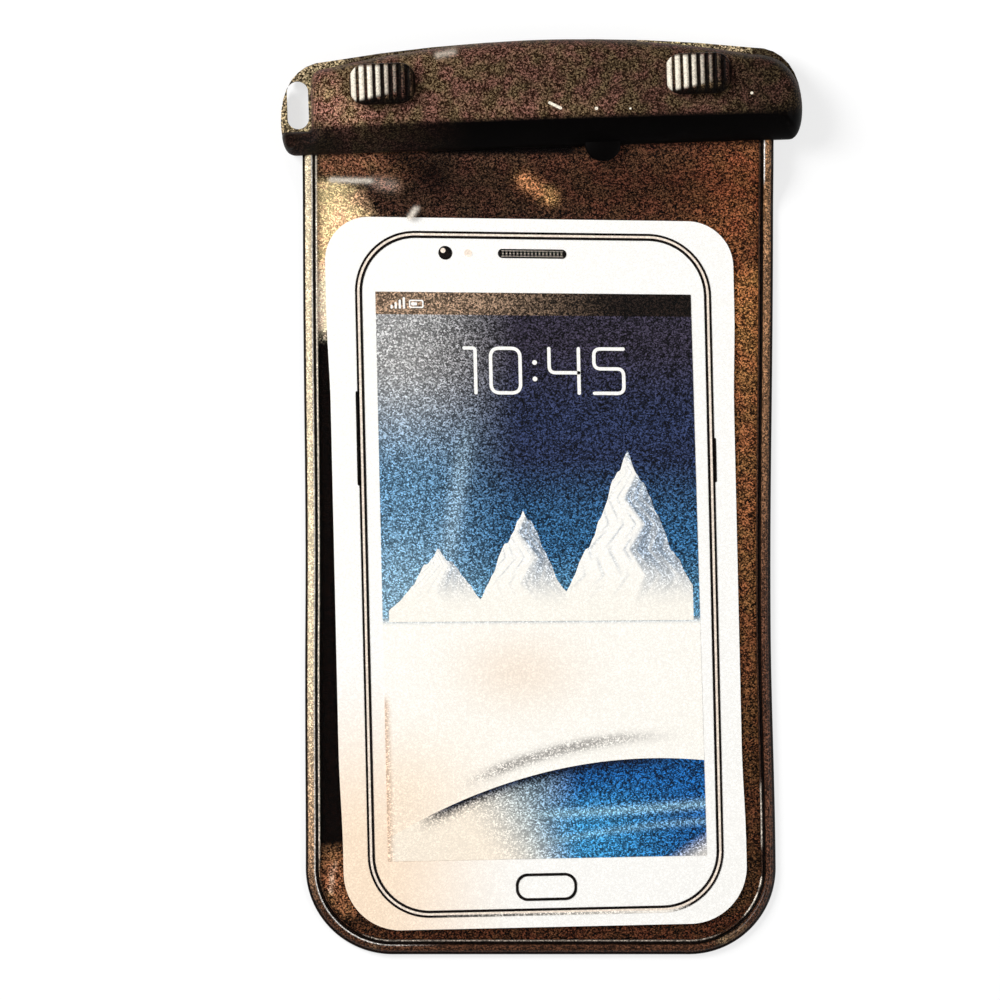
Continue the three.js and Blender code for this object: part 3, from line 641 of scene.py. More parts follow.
def picture(u, v):
    """Colours over the screen, from shares of its width and height.

    The sky goes from blue over the horizon to navy at the top and pales to grey at the upper left;
    under the horizon is white mist, warmer in the middle and over the cream ground at the left.
    """
    left = coated(linear("#86a9c0"), ("#5f86a5", rise(0.43, 0.64, v)), ("#a6a6a7", rise(0.66, 0.88, v)))
    right = coated(
        linear("#5c8fb0"),
        ("#2c587f", rise(0.43, 0.56, v)),
        ("#232c48", rise(0.56, 0.72, v)),
        ("#2c2836", rise(0.76, 0.92, v)),
    )
    sky = mix(left, right, rise(0.06, 0.46, u))
    veil = np.exp(-(((u - 0.2 - 0.3 * (v - 0.5)) / 0.03) ** 2)) * rise(0.47, 0.58, v) * rise(0.82, 0.66, v)
    sky = mix(sky, linear("#a9c4d6"), veil * 0.4)
    warm = np.exp(-(((u - 0.42) / 0.2) ** 2) - ((v - 0.33) / 0.07) ** 2)
    lee = np.exp(-(((v - shore(u) - 0.022 - 0.02 * u) / 0.011) ** 2)) * rise(0.2, 0.4, u) * rise(0.98, 0.6, u)
    return coated(
        linear("#fdfaf4"),
        ("#f3e1d0", warm * 0.7),
        ("#f9e7d3", rise(0.5, 0.0, u) * rise(0.3, 0.1, v)),
        ("#7f7a78", lee * 0.6),
        ("#e2bfa4", rise(0.026, 0.0, u) * rise(0.3, 0.27, v) * 0.8),
        (sky, rise(0.412, 0.43, v)),
    )


def status_picture(u, v):
    """The status bar: warm grey at the left, nearly black at the right."""
    return mix(linear("#8f7763"), linear("#17100d"), rise(0.1, 0.8, u))


def shore(u):
    """The bay's upper edge, as a share of the screen's height: a curve that rises to the right."""
    return 0.04 * (1 - u) ** 2 + 0.4 * u * (1 - u) + 0.17 * u**2


def bay_picture(u, v):
    """Water: deep blue to the right under a dark far shore, with paler curved ripples, and shallow
    over cream sand to the left."""
    depth = shore(u) - v
    water = mix(linear("#17508a"), linear("#3a86b8"), rise(0.02, 0.11, depth) * rise(1.0, 0.6, u))
    ripple = np.exp(-(((depth - 0.075 + 0.22 * (u - 0.72) ** 2 - 0.02 * u) / 0.009) ** 2))
    ripple = ripple + 0.6 * np.exp(-(((depth - 0.125 + 0.1 * (u - 0.6) ** 2) / 0.007) ** 2))
    far = np.exp(-((depth / 0.016) ** 2)) * rise(0.08, 0.2, u) * rise(1.05, 0.75, u)
    return coated(
        water,
        ("#a8d5e6", np.clip(ripple, 0, 1) * rise(0.3, 0.5, u) * 0.45),
        ("#93a9b3", rise(0.62, 0.42, u) * 0.85),
        ("#f7ebdb", rise(0.46, 0.2, u - 0.9 * depth)),
        ("#0d1a33", far),
        ("#f6f0e6", rise(0.05, 0.0, v + 0.35 * (1 - u)) * 0.8),
        ("#e2bfa4", rise(0.026, 0.0, u) * 0.8),
    )


peaks = np.array([(0.185, 0.112, 0.2), (0.45, 0.18, 0.19), (0.785, 0.285, 0.26)])


def cones(u):
    """Each peak's height over the horizon at u: concave flanks, h (1 - |d| / s) ^ 1.3."""
    away = np.abs(u[..., None] - peaks[:, 0]) / peaks[:, 2]
    return peaks[:, 1] * np.clip(1 - away, 0, 1) ** 1.3


def ridge(u):
    """The hills' skyline, as a share of the screen's height: three peaks with smaller crags."""
    line = cones(u).max(-1)
    crags = 0.016 * zigzag(8.3 * u + 0.4) + 0.009 * zigzag(19.7 * u) + 0.004 * zigzag(47 * u + 0.2)
    return 0.426 + line + crags * np.clip(line * 9, 0, 1)


def ridge_picture(u, v):
    """Snow: white where the hills face left, blue-grey in the lee of each peak and in the gullies
    that run down from it, and lost in mist below."""
    nearest = peaks[cones(u).argmax(-1)]
    down = np.clip(nearest[..., 1] + 0.426 - v, 0, 1)
    beside = u - nearest[..., 0] + 0.05 * (zigzag(11 * v + nearest[..., 0] * 7) - 0.5) - 0.12 * down
    shade = rise(-0.008, 0.016, beside)
    spread = beside / (0.02 + 0.6 * down)
    gully = zigzag(2.2 * spread + 5 * v) * 0.6 + zigzag(5.3 * spread - 9 * v) * 0.4
    shade = np.clip(shade * (0.55 + 0.7 * gully) + (1 - shade) * 0.45 * rise(0.55, 0.95, gully), 0, 1)
    snow = mix(linear("#fcfaf6"), linear("#7f95ae"), shade * 0.85)
    return mix(snow, linear("#faf6ee"), rise(0.55, 0.435, v))


def screen_field(name, low, high, colours, columns, rows, level, slot, node, left=0.0, right=1.0):
    """A field of the picture between two lines, which give shares of the height across it."""
    u = np.linspace(left, right, columns)[None, :] + np.zeros((rows, 1))
    t = np.linspace(0, 1, rows)[:, None]
    v = low(u) + (high(u) - low(u)) * t
    top = card_face + level * layer + u * 0
    x = (u - 0.5) * screen_width + print_shift + 0.75 * u * (1 - v)
    placed = on_card(np.stack([x, screen_low + v * screen_length, top], -1))
    sheet(name, placed, layer, picture_ink, [node], tint=colours(u, v))


def level_line(share):
    """A line that stays at one share of the screen's height."""
    return lambda u: share + 0 * u


def dusk_line(u):
    """The line between the two fields of the sky: a shallow dip."""
    return 0.72 - 0.12 * u + 0.16 * u**2


status_line = level_line(1 - 4.9 / screen_length)
horizon = level_line(0.42)
for name, low, high, colours, columns, rows, level, slot, *ends in (
    ("status_bar", status_line, level_line(1), status_picture, 60, 6, 1, "brown_ink"),
    ("night_sky", dusk_line, status_line, picture, 90, 50, 1, "navy_ink"),
    ("sky", horizon, dusk_line, picture, 120, 80, 1, "blue_ink"),
    ("mist", shore, horizon, picture, 160, 120, 1, "cream_ink"),
    ("bay", level_line(0), shore, bay_picture, 200, 80, 1, "blue_ink"),
    ("ridge", horizon, ridge, ridge_picture, 360, 110, 2, "white_ink", 0.02, 0.98),
):
    screen_field("screen_" + name, low, high, colours, columns, rows, level, slot, "print_" + name, *ends)

# Clock numerals: a light face of even strokes with round corners and ends.
stroke = 0.75
digit_width, digit_height = 7.2 - stroke, 10.5 - stroke


def rounded_path(corners, radius, closed=False):
    """A line through corners, each rounded to an arc drawn as a short curve of nine points."""
    corners = np.asarray(corners, float)
    count = len(corners)
    parts = []
    for i in range(count):
        here = corners[i]
        if not closed and i in (0, count - 1):
            parts.append(here[None])
            continue
        before, after = corners[i - 1], corners[(i + 1) % count]
        a = here + (before - here) / np.linalg.norm(before - here) * radius
        b = here + (after - here) / np.linalg.norm(after - here) * radius
        t = np.linspace(0, 1, 9)[:, None]
        parts.append((1 - t) ** 2 * a + 2 * (1 - t) * t * here + t**2 * b)
    return np.concatenate(parts)


def ribbon(path, closed=False, low=card_face + layer, high=card_face + 2 * layer):
    """A flat stroke of even width along a path, with half-round ends unless it is closed."""
    if closed:
        ahead = np.roll(path, -1, 0) - np.roll(path, 1, 0)
    else:
        ahead = np.gradient(path, axis=0)
    ahead /= np.linalg.norm(ahead, axis=1, keepdims=True)
    beside = np.stack([-ahead[:, 1], ahead[:, 0]], -1) * stroke / 2
    if closed:
        return band_shell(path + beside, path - beside, low, high)
    turn = np.linspace(0, np.pi, 9)[1:-1, None]
    cap = lambda point, normal, forward: point + normal * np.cos(turn) + forward * stroke / 2 * np.sin(turn)
    end = cap(path[-1], beside[-1], ahead[-1])
    start = cap(path[0], -beside[0], -ahead[0])
    ring = np.concatenate([path + beside, end, (path - beside)[::-1], start])
    middle = np.concatenate([path, np.repeat(path[-1:], 7, 0), path[::-1], np.repeat(path[:1], 7, 0)])
    return disc_shell(ring, middle, low, high)


right, left = digit_width / 2, -digit_width / 2
top, foot = digit_height / 2, -digit_height / 2
digits = {
    1: [([(right - 2.4, top), (right, top), (right, foot)], 0.6, False)],
    0: [([(left, foot), (right, foot), (right, top), (left, top)], 2.0, True)],
    4: [([(left, top), (left, -0.4), (right, -0.4)], 1.4, False), ([(right, top), (right, foot)], 1, False)],
    5: [([(right, top), (left, top), (left, 0.5), (right, 0.5), (right, foot), (left, foot)], 1.5, False)],
}
clock_y = screen_high - 17
for i, digit in enumerate((1, 0, 4, 5)):
    x = (i - 1.5) * 9.8 + (-1.5 if i < 2 else 1.5)
    strokes = []
    for corners, radius, closed in digits[digit]:
        strokes.append(ribbon(rounded_path(np.array(corners) + [x, clock_y], radius, closed), closed))
    printed(f"clock_numeral_{i + 1}", strokes, white_ink, [f"print_numeral_{i + 1}"])
for name, y in (("upper", 1.8), ("lower", -1.8)):
    dot = pill(0, clock_y + y, 1.06, 1.05, card_face + layer, card_face + 2 * layer)
    printed(f"clock_colon_{name}", [dot], white_ink, [f"print_colon_{name}"])

# Status marks: four bars of rising height and a cell, as any phone shows.
mark_y = screen_high - 2.6
marks = [pill(0, 0, 0.9 + 0.55 * i, 0.5, *over) for i in range(4)]
for i, (points, _) in enumerate(marks):
    points[..., [0, 1]] = points[..., [1, 0]] * [-1, 1] + [-31 + 0.9 * i, mark_y - 1.1 + (0.9 + 0.55 * i) / 2]
cell_outer = rounded_ring(-25.6, mark_y, 3.2, 1.8, 0.4, 8)
cell_inner = rounded_ring(-25.6, mark_y, 2.6, 1.2, 0.2, 8)
cell = band_shell(cell_outer, cell_inner, *over)
charge = pill(-26.1, mark_y, 1.4, 0.7, *over)
printed("screen_status_marks", [*marks, cell, charge], white_ink)


# Front film
# Clear glossy vinyl sheet, 0.4 mm thick, over the card. It is creased where it is drawn
# together under the clamp, with painted glints, pale milky streaks, along the creases.
film_x, film_y = film_plan(150, 280)
folds = [
    ((-35, -2), (-12, -13), 2.4, 0.7),
    ((-46, -7.4), (-36, -7.8), 1.0, 0.5),
    ((0, -7), (4, -12), 2.6, 0.5),
    ((-28.6, -12.4), (-26.4, -15.2), 0.8, 0.4),
    ((20, -3), (33, -15), 3.2, -0.4),
    ((33, -2), (47, -15), 2.0, 0.6),
    ((39, -17), (46, -5), 1.3, 0.4),
    ((-46, -14), (-40, -22), 1.8, 0.4),
]
across = 1 - (film_x / film_half) ** 2
along = np.clip(1 - ((film_y + bag_length / 2) / (bag_length / 2)) ** 4, 0, 1)
front_top = mix(1.5 + 0.8 * across * along, 6.1, climb(film_y)) + film_thickness
for start, end, width, height in folds:
    clear_of_clamp = rise(0.5, -3, film_y)
    front_top = front_top + height * streak(film_x, film_y, start, end, width) * clear_of_clamp
# Painted glints: pale streaks where the creased film catches the light.
film_glint = 0.7 * streak(film_x, film_y, (-45, -7.2), (-36.5, -7.4), 0.55)
film_glint += 0.1 * streak(film_x, film_y, (-35, -7.8), (-32, -8.2), 1.2)
film_glint += 0.9 * streak(film_x, film_y, (-27.9, -15.2), (-26.6, -13.4), 0.5)

# Clear calendered vinyl: a sharp gloss from its index of 1.53, and painted glints as a cloudy bloom in the
# creases.
clear_vinyl, tree = blank("clear_vinyl_film")
place = add(tree, "TexCoord", {})
waves = add(tree, "TexNoise", {"Vector": place.outputs["Object"], "Scale": 260.0, "Detail": 3.0})
bump = add(tree, "Bump", {"Height": waves.outputs["Fac"], "Strength": 0.25, "Distance": 0.0006})
edge = add(tree, "Fresnel", {"IOR": 1.17, "Normal": bump.outputs["Normal"]})
seen = add(tree, "LightPath", {}).outputs
under = add(tree, "NewGeometry", {})
lamp_ray = add(tree, "Math", {0: seen["Is Shadow Ray"], 1: seen["Is Diffuse Ray"]}, operation="MAXIMUM")
lamp_ray = add(tree, "Math", {0: lamp_ray.outputs[0], 1: under.outputs["Backfacing"]}, operation="MAXIMUM")
kept = add(tree, "Math", {0: 1.0, 1: lamp_ray.outputs[0]}, operation="SUBTRACT")
share = add(tree, "Math", {0: edge.outputs[0], 1: kept.outputs[0]}, operation="MULTIPLY")
through = add(tree, "BsdfTransparent", {"Color": (0.998, 0.996, 0.99, 1)})
gloss = add(tree, "BsdfGlossy", {"Roughness": 0.12, "Normal": bump.outputs["Normal"]})
skin = add(tree, "MixShader", {0: share.outputs[0], 1: through.outputs[0], 2: gloss.outputs[0]})
bloom = add(tree, "Attribute", {}, attribute_name="film_glint")
speck, _ = grained(tree, place)
rough = add(tree, "MapRange", {"Value": speck.outputs[0], "From Max": 3.5, "To Min": 0.7, "To Max": 1.6})
glint_share = {0: bloom.outputs["Fac"], 1: rough.outputs[0]}
glint_share = add(tree, "Math", glint_share, operation="MULTIPLY", use_clamp=True)
matt = add(tree, "BsdfDiffuse", {"Color": paint("#dcd2c4")})
shader = add(tree, "MixShader", {0: glint_share.outputs[0], 1: skin.outputs[0], 2: matt.outputs[0]})
add(tree, "OutputMaterial", {"Surface": shader.outputs[0]})

front_points = in_bag(film_x, film_y, front_top)
film_glint_marks = {"film_glint": film_glint}
sheet("front_film_sheet", front_points, film_thickness, clear_vinyl, ["front_film"], film_glint_marks)


# Welded rim
# Where the two films are welded together round the sides and the bottom: a dark lip at the
# outside, a rounded bead, a groove pressed by the welding tool and a fine inner bead.
profile = np.array(
    [
        # distance in from the outer edge, height, tone: 0 for a dark line painted as shade, 1 for the bead
        (0.30, 0.00, 0.0),
        (0.05, 0.20, 0.0),
        (0.00, 0.60, 0.0),
        (0.00, 1.00, 0.0),
        (0.12, 1.35, 0.0),
        (0.32, 1.45, 0.0),
        (0.48, 1.40, 0.0),
        (0.60, 1.58, 0.8),
        (0.80, 1.90, 1.0),
        (1.10, 2.12, 1.0),
        (1.40, 2.20, 1.0),
        (1.70, 2.12, 1.0),
        (1.86, 2.00, 1.1),
        (1.96, 1.92, 1.7),
        (2.08, 1.75, 1.7),
        (2.16, 1.50, 0.2),
        (2.28, 1.15, 0.0),
        (2.48, 1.00, 0.0),
        (2.70, 1.10, 0.0),
        (2.84, 1.40, 0.1),
        (2.92, 1.60, 0.8),
        (3.02, 1.60, 0.8),
        (3.12, 1.35, 0.3),
        (3.20, 1.10, 0.2),
        (3.20, 0.50, 0.0),
        (3.05, 0.00, 0.0),
    ]
)
rim_middle = bag_half - rim_width / 2
rim_corner = bag_corner - rim_width / 2

# The clamp sits a little askew on the bag, as its latches show, and the rim's ends reach to it.
joints = frame["record"]["behaviour"]["joints"]
latch_left, latch_right = (np.array(joint["pos_m"]) * 1000 for joint in joints)
clamp_turn = math.atan2(latch_right[1] - latch_left[1], latch_right[0] - latch_left[0])
askew = math.tan(clamp_turn)
under_clamp = 0.1
left_top = (-rim_middle - 1.0 - rim_width / 2) * askew + under_clamp
right_top = (rim_middle - 1.0 - rim_width / 2) * askew + under_clamp
low = -bag_length + rim_width / 2
arc = np.linspace(0, np.pi / 2, 40)[1:-1]
sine, cosine = np.sin(arc), np.cos(arc)
corner_x, corner_y = rim_middle - rim_corner, low + rim_corner
left_side = np.linspace(left_top, corner_y, 130)
right_side = np.linspace(corner_y, right_top, 130)
bottom = np.linspace(-corner_x, corner_x, 50)
runs = [
    # places and outward directions down the left side, round the bottom and up the right side
    (0 * left_side - rim_middle, left_side, 0 * left_side - 1, 0 * left_side),
    (-corner_x - rim_corner * cosine, corner_y - rim_corner * sine, -cosine, -sine),
    (bottom, 0 * bottom + low, 0 * bottom, 0 * bottom - 1),
    (corner_x + rim_corner * sine, corner_y - rim_corner * cosine, sine, -cosine),
    (0 * right_side + rim_middle, right_side, 0 * right_side + 1, 0 * right_side),
]
rim_path = np.concatenate([np.stack(run, -1) for run in runs])
outside = rim_width / 2 - profile[:, 0]
rim_x = rim_path[:, None, 0] + rim_path[:, None, 2] * outside
rim_y = rim_path[:, None, 1] + rim_path[:, None, 3] * outside
rim_z = profile[:, 1] + 4.9 * climb(rim_path[:, None, 1])
path_x, path_y = rim_path[:, 0], rim_path[:, 1]
on_left = rise(-20, -47, path_x)
on_right = rise(20, 47, path_x)
bead_highlights = streak(path_x, path_y, (-45.2, -165.2), (-44.2, -166.6), 0.9)
bead_highlights = bead_highlights + streak(path_x, path_y, (-37.5, -171.8), (-35.8, -173), 0.9)
bead_highlights = bead_highlights + 0.5 * streak(path_x, path_y, (43, -169.4), (39, -172.4), 1.0)
# The bead's colour is painted light: cream down the left side, where the light falls, paler towards the top on
# the right, brown at the bottom, with painted highlights at the lower corners.
bead = coated(
    mix(linear("#452b1d"), linear("#b08a68"), on_left * rise(-168, -150, path_y)),
    ("#ecd8b6", on_left * rise(-160, -100, path_y)),
    ("#4c3022", on_right * rise(-168, -150, path_y)),
    ("#8a6547", on_right * rise(-110, -30, path_y)),
    ("#e4cf9f", np.clip(bead_highlights, 0, 1) * 0.75),
)

# The inner bead: dim, with painted highlights along the left side and in short streaks at the lower right.
glints = 0.6 * on_left * rise(-160, -150, path_y)
glints = glints + 0.5 * streak(path_x, path_y, (49.7, -140), (49.7, -152), 0.8)
glints = glints + streak(path_x, path_y, (49.5, -160.5), (49.2, -161.8), 0.6) + 0.25 * rise(-173, -174.5, path_y)
glints = np.clip(glints + streak(path_x, path_y, (48.2, -164.2), (45.6, -168.0), 0.7), 0, 1)
inner = rise(2.75, 2.9, profile[:, 0]) * rise(3.2, 3.12, profile[:, 0])

# A tone over 1 in the profile is a painted highlight, the line on the bead's inner side that
# catches the light: all along the left side, and at the very top of the right one.
tone = profile[None, :, 2]
dark_line = np.broadcast_to(linear("#120906"), (len(path_x), len(profile), 3))
glare = np.clip((tone - 1) * 1.4, 0, 1)
lit = on_right * rise(-8.5, -6.5, path_y)
rim_tint = coated(
    mix(dark_line, bead[:, None, :] + 0 * tone[..., None], np.clip(tone, 0, 1)),
    ("#fbf8f2", glare * on_left[:, None]),
    ("#fbf8f2", glare * lit[:, None]),
    ("#3a261b", inner * np.ones((len(path_x), 1)) * (1 - on_left[:, None])),
    ("#fbf1e2", inner * glints[:, None]),
)

# Vinyl melted and pressed at the weld: glossy, cloudy clear over the dark film, with the same
# grain of 0.26 mm. Its tint holds painted light and shade.
rim_vinyl, tree = blank("welded_vinyl")
place = add(tree, "TexCoord", {})
tinted = add(tree, "Attribute", {}, attribute_name="tint")
body, _ = mottled(tree, place, tinted.outputs["Color"], 0.9, 0.3)
shader = add(tree, "BsdfPrincipled", {"Base Color": body, "Roughness": 0.3, "Specular IOR Level": 0.15})
add(tree, "OutputMaterial", {"Surface": shader.outputs[0]})

rim_points = in_bag(rim_x, rim_y, rim_z)
ends = np.stack([rim_points[0].mean(0) + 0 * rim_points[0], rim_points[-1].mean(0) + 0 * rim_points[0]])
rim_points = np.concatenate([ends[:1], rim_points, ends[1:]])
rim_tint = np.concatenate([rim_tint[:1], rim_tint, rim_tint[-1:]])
rim_faces = quads(len(rim_points), len(profile), ring=True)
rim_faces = outward(rim_points.reshape(-1, 3), rim_faces)
piece("rim_bead", [(rim_points, rim_faces)], rim_vinyl, "pouch", ["welded_rim"], tint=rim_tint)


# Seal gasket
# A strip of black silicone rubber in a groove of the front bar, which presses both films
# against the rear bar's rib. It is hidden when the clamp is shut.
silicone, tree = blank("black_silicone_rubber")
place = add(tree, "TexCoord", {})
bloom = add(tree, "TexNoise", {"Vector": place.outputs["Object"], "Scale": 900.0, "Detail": 2.0})
body = add(tree, "Mix", {0: bloom.outputs["Fac"], 6: paint("#141210"), 7: paint("#24211f")}, data_type="RGBA")
shader = add(tree, "BsdfPrincipled", {"Base Color": body.outputs[2], "Roughness": 0.8})
add(tree, "OutputMaterial", {"Surface": shader.outputs[0]})
moulding("seal_gasket_strip", "seal_gasket", silicone, "pouch", 0.2)


# Front bar of the clamp
# Injection-moulded black ABS: an arched, grained face, a flank painted near black as shade that
# falls from a crisp crest to the lower edge, round ends, a toe under the lanyard eye and a half-round thumb tab.
front_base = 6.1
front_lip = 7.1
front_face = 12.6
recess_top = 6.7
bar_half, bar_depth = 57, 23.5
face_inset = 3.4
latch_axis_height = 14.9
clamp_up = np.array([-math.sin(clamp_turn), math.cos(clamp_turn)])
clamp_origin = (latch_left + latch_right)[:2] / 2 - clamp_up * latch_axis_height


def on_clamp(points):
    """Points of the clamp's own frame, in the pouch's frame."""
    return turned(points, clamp_turn, *clamp_origin)


def bezier(a, b, c, d, count):
    """A cubic curve from a to d that leaves towards b and arrives from c, without its last point."""
    a, b, c, d = (np.array(p, float) for p in (a, b, c, d))
    t = (np.arange(count) / count)[:, None]
    return (1 - t) ** 3 * a + 3 * (1 - t) ** 2 * t * b + 3 * (1 - t) * t**2 * c + t**3 * d


def straight(a, b, count):
    """Even steps from a to b, without b."""
    t = (np.arange(count) / count)[:, None]
    return np.array(a, float) * (1 - t) + np.array(b, float) * t


bar_outline = np.concatenate(
    [
        straight((-54, 0), (54, 0), 300),
        bezier((54, 0), (56, 0), (57, 3.5), (57, 7.05), 24),
        bezier((57, 7.05), (57, 13.5), (53.5, 18.8), (46.5, 18.8), 50),
        bezier((46.5, 18.8), (15.5, 25.07), (-15.5, 25.07), (-46.5, 18.8), 260),
        bezier((-46.5, 18.8), (-48.8, 18.6), (-50.25, 17.8), (-50.25, 15.4), 16),
        straight((-50.25, 15.4), (-50.25, 6.4), 30),
        bezier((-50.25, 6.4), (-50.25, 5.6), (-50.7, 5.15), (-51.5, 5.15), 10),
        straight((-51.5, 5.15), (-55.6, 5.15), 14),
        bezier((-55.6, 5.15), (-56.5, 5.15), (-56.85, 4.7), (-56.8, 3.9), 8),
        bezier((-56.8, 3.9), (-56.5, 1.4), (-55.6, 0), (-54, 0), 14),
    ]
)

# The shoulder, where the face begins, lies inside the outline: far in along the flank, which is
# told by its inward direction (lowness), nearer elsewhere, and nearest at the toe under the eye.
ox, oy = bar_outline.T
ahead = np.roll(bar_outline, -1, 0) - np.roll(bar_outline, 1, 0)
ahead /= np.linalg.norm(ahead, axis=1, keepdims=True)
inward = np.stack([-ahead[:, 1], ahead[:, 0]], -1)
lowness = rise(0.35, 0.9, inward[:, 1])
toe = rise(-48, -51, ox) * rise(6.5, 5.2, oy)
flank_run = 5.4 + 0.4 * (1 - (ox / bar_half) ** 2)
drawn_x = ox * (bar_half - face_inset) / bar_half
drawn_y = flank_run + oy * (bar_depth - flank_run - face_inset) / bar_depth
drawn_in = np.stack([drawn_x, drawn_y], -1)
inset = mix(1.6, 2.6, lowness)
inset = mix(inset, 1.0, toe * (1 - lowness))
blur = 9
kernel = np.hanning(blur + 2)[1:-1]
kernel /= kernel.sum()
inset = np.convolve(np.concatenate([inset[-blur:], inset, inset[:blur]]), kernel, "same")[blur:-blur]
shoulder = mix(drawn_in, bar_outline + inward * inset[:, None], rise(-43, -49.8, ox)[:, None])
spine_x = np.clip(ox, -54.5, 46)
spine_x = np.where((oy > 6.3) & (ox < -44), mix(-50, -44, rise(5, 17, oy)), spine_x)
spine_y = mix(2.6, 12.0, rise(-50.5, -44, spine_x))
spine = np.stack([spine_x, spine_y], -1)
full = mix(0.72, 1.0, rise(-54, -46.5, spine_x))
in_neck = rise(49.3, 48.6, np.abs(ox)) * rise(0.6, 0.9, inward[:, 1])

# The bar's skin, ring by ring: its flat back, the lip, a rise to the shoulder that is rounded or,
# on the flank, nearly straight, and the face as far as the spine in its middle.
levels, marks = [], []
for share in (0.0, 0.5):
    levels.append(lifted(mix(spine, bar_outline, share), front_base))
    marks.append(0 * ox)
levels.append(np.concatenate([bar_outline, mix(front_base, recess_top, in_neck)[:, None]], -1))
marks.append(lowness)
levels.append(lifted(bar_outline, front_lip))
marks.append(lowness)
for share in (0.004, 0.02, 0.05, 0.1, 0.17, 0.25, 0.34, 0.44, 0.54, 0.64, 0.73, 0.81, 0.88, 0.94, 0.98, 1.0):
    round_rise = math.sqrt(1 - (1 - share) ** 2)
    flank_rise = share**0.72
    z = front_lip + (front_face - front_lip) * full * mix(round_rise, flank_rise, lowness)
    levels.append(np.concatenate([mix(bar_outline, shoulder, share), z[:, None]], -1))
    marks.append(lowness)
z = front_lip + (front_face - front_lip) * full
for share in (0.02, 0.05, 0.09, 0.13, 0.18, 0.24, 0.31, 0.4, 0.5, 0.65, 0.8, 1.0):
    levels.append(np.concatenate([mix(shoulder, spine, share), z[:, None]], -1))
    marks.append(lowness * rise(0.24, 0.0, share))
levels = np.stack(levels)

# Painted shade: the flank and both lower corners are near black. Painted light and shade: the face
# is paler to the left and along its lower middle and darker to the right, with a painted highlight in one place
# at the top.
bar_x, bar_y = levels[..., 0], levels[..., 1]
flank_shade = np.stack(marks) * mix(0.8, 1.0, rise(-40, -14, bar_x))
corner = 0.88 * rise(6.8, 5.2, bar_y) * rise(-38, -44, bar_x)
corner = np.maximum(corner, rise(8.5, 5.0, bar_y) * rise(40, 50, bar_x))
flank_shade = np.maximum(flank_shade, corner)
face_light_and_shade = 1.5 * streak(bar_x, bar_y, (-46, 12), (-42, 8), 4.5)
face_light_and_shade += 0.35 * streak(bar_x, bar_y, (-12, 8), (16, 8), 2.5)
face_light_and_shade -= 0.45 * rise(34, 50, bar_x)
face_light_and_shade += 0.25 * rise(-2, -24, bar_x) - 0.15 * rise(2, 14, bar_x)
top_highlight = 0.4 * streak(bar_x, bar_y, (-22.2, 20.8), (-18.8, 21.4), 0.7)
bar_shell = (on_clamp(levels), quads(len(levels), len(ox), ring=True))

# The thumb tab: a low round disc, of which the lower half shows under the bar's edge.
tab_x, tab_y, tab_radius = 13.2, 0.5, 4
turn = np.linspace(0, 2 * np.pi, 65)[:-1]
tab_ring = np.stack([tab_x + tab_radius * np.cos(turn), tab_y + tab_radius * np.sin(turn)], -1)
tab_middle = np.array([[tab_x, tab_y]])
tab_levels = [
    lifted(tab_middle + 0 * tab_ring, 6.9),
    lifted(mix(tab_middle, tab_ring, 0.93), 6.9),
    lifted(tab_ring, 7.15),
    lifted(tab_ring, 8.0),
    lifted(mix(tab_middle, tab_ring, 0.97), 8.25),
    lifted(mix(tab_middle, tab_ring, 0.88), 8.4),
    lifted(tab_middle + 0 * tab_ring, 8.4),
]
tab_levels = np.stack(tab_levels)
tab_shell = (on_clamp(tab_levels), quads(len(tab_levels), len(turn), ring=True))
# The tab is painted near black, as shade under the bar's edge.
tab_shade, tab_plain = np.ones(tab_levels[..., 0].size), np.zeros(tab_levels[..., 0].size)
bar_marks = {
    "painted_shade": np.concatenate([flank_shade.ravel(), tab_shade]),
    "painted_light_and_shade": np.concatenate([face_light_and_shade.ravel(), tab_plain]),
    "painted_highlight": np.concatenate([top_highlight.ravel(), tab_plain]),
}
clamp_abs = moulded_abs("moulded_black_abs", "#916658", "#846e51")
shells = [bar_shell, tab_shell]
piece("front_bar_moulding", shells, clamp_abs, "pouch", ["front_bar"], marks=bar_marks)

# Painted glints that show pale on the face: places and turn on the face, length and width.
face_glints = []
for x, y, slant, length, width in (
    (3.0, 8.95, -28, 3.3, 0.62),
    (12.0, 8.0, 0, 0.75, 0.7),
    (19.4, 7.75, 0, 0.5, 0.45),
    (46.0, 10.25, 0, 0.65, 0.6),
):
    points, faces = pill(0, 0, length, width, front_face, front_face + 0.03)
    face_glints.append((on_clamp(turned(points, math.radians(slant), x, y)), faces))
face_glint_marks = {"painted_highlight": np.ones(sum(points[..., 0].size for points, _ in face_glints))}
piece("front_bar_glints", face_glints, clamp_abs, "pouch", smooth=False, marks=face_glint_marks)


# Twist latches
# Each knob is a domed, ribbed pad of the same ABS, moulded in one with its spindle. A nylon
# washer lies under it, and a nylon foot, held by a zinc-plated screw, hooks behind the rear bar.
knob_half = 7.25
knob_side = 4.5
knob_low = 12.9
knob_high = 3.3
rib_pitch = 2 * knob_half / 8
knob_corner = 3.6
rib_depth = 0.55


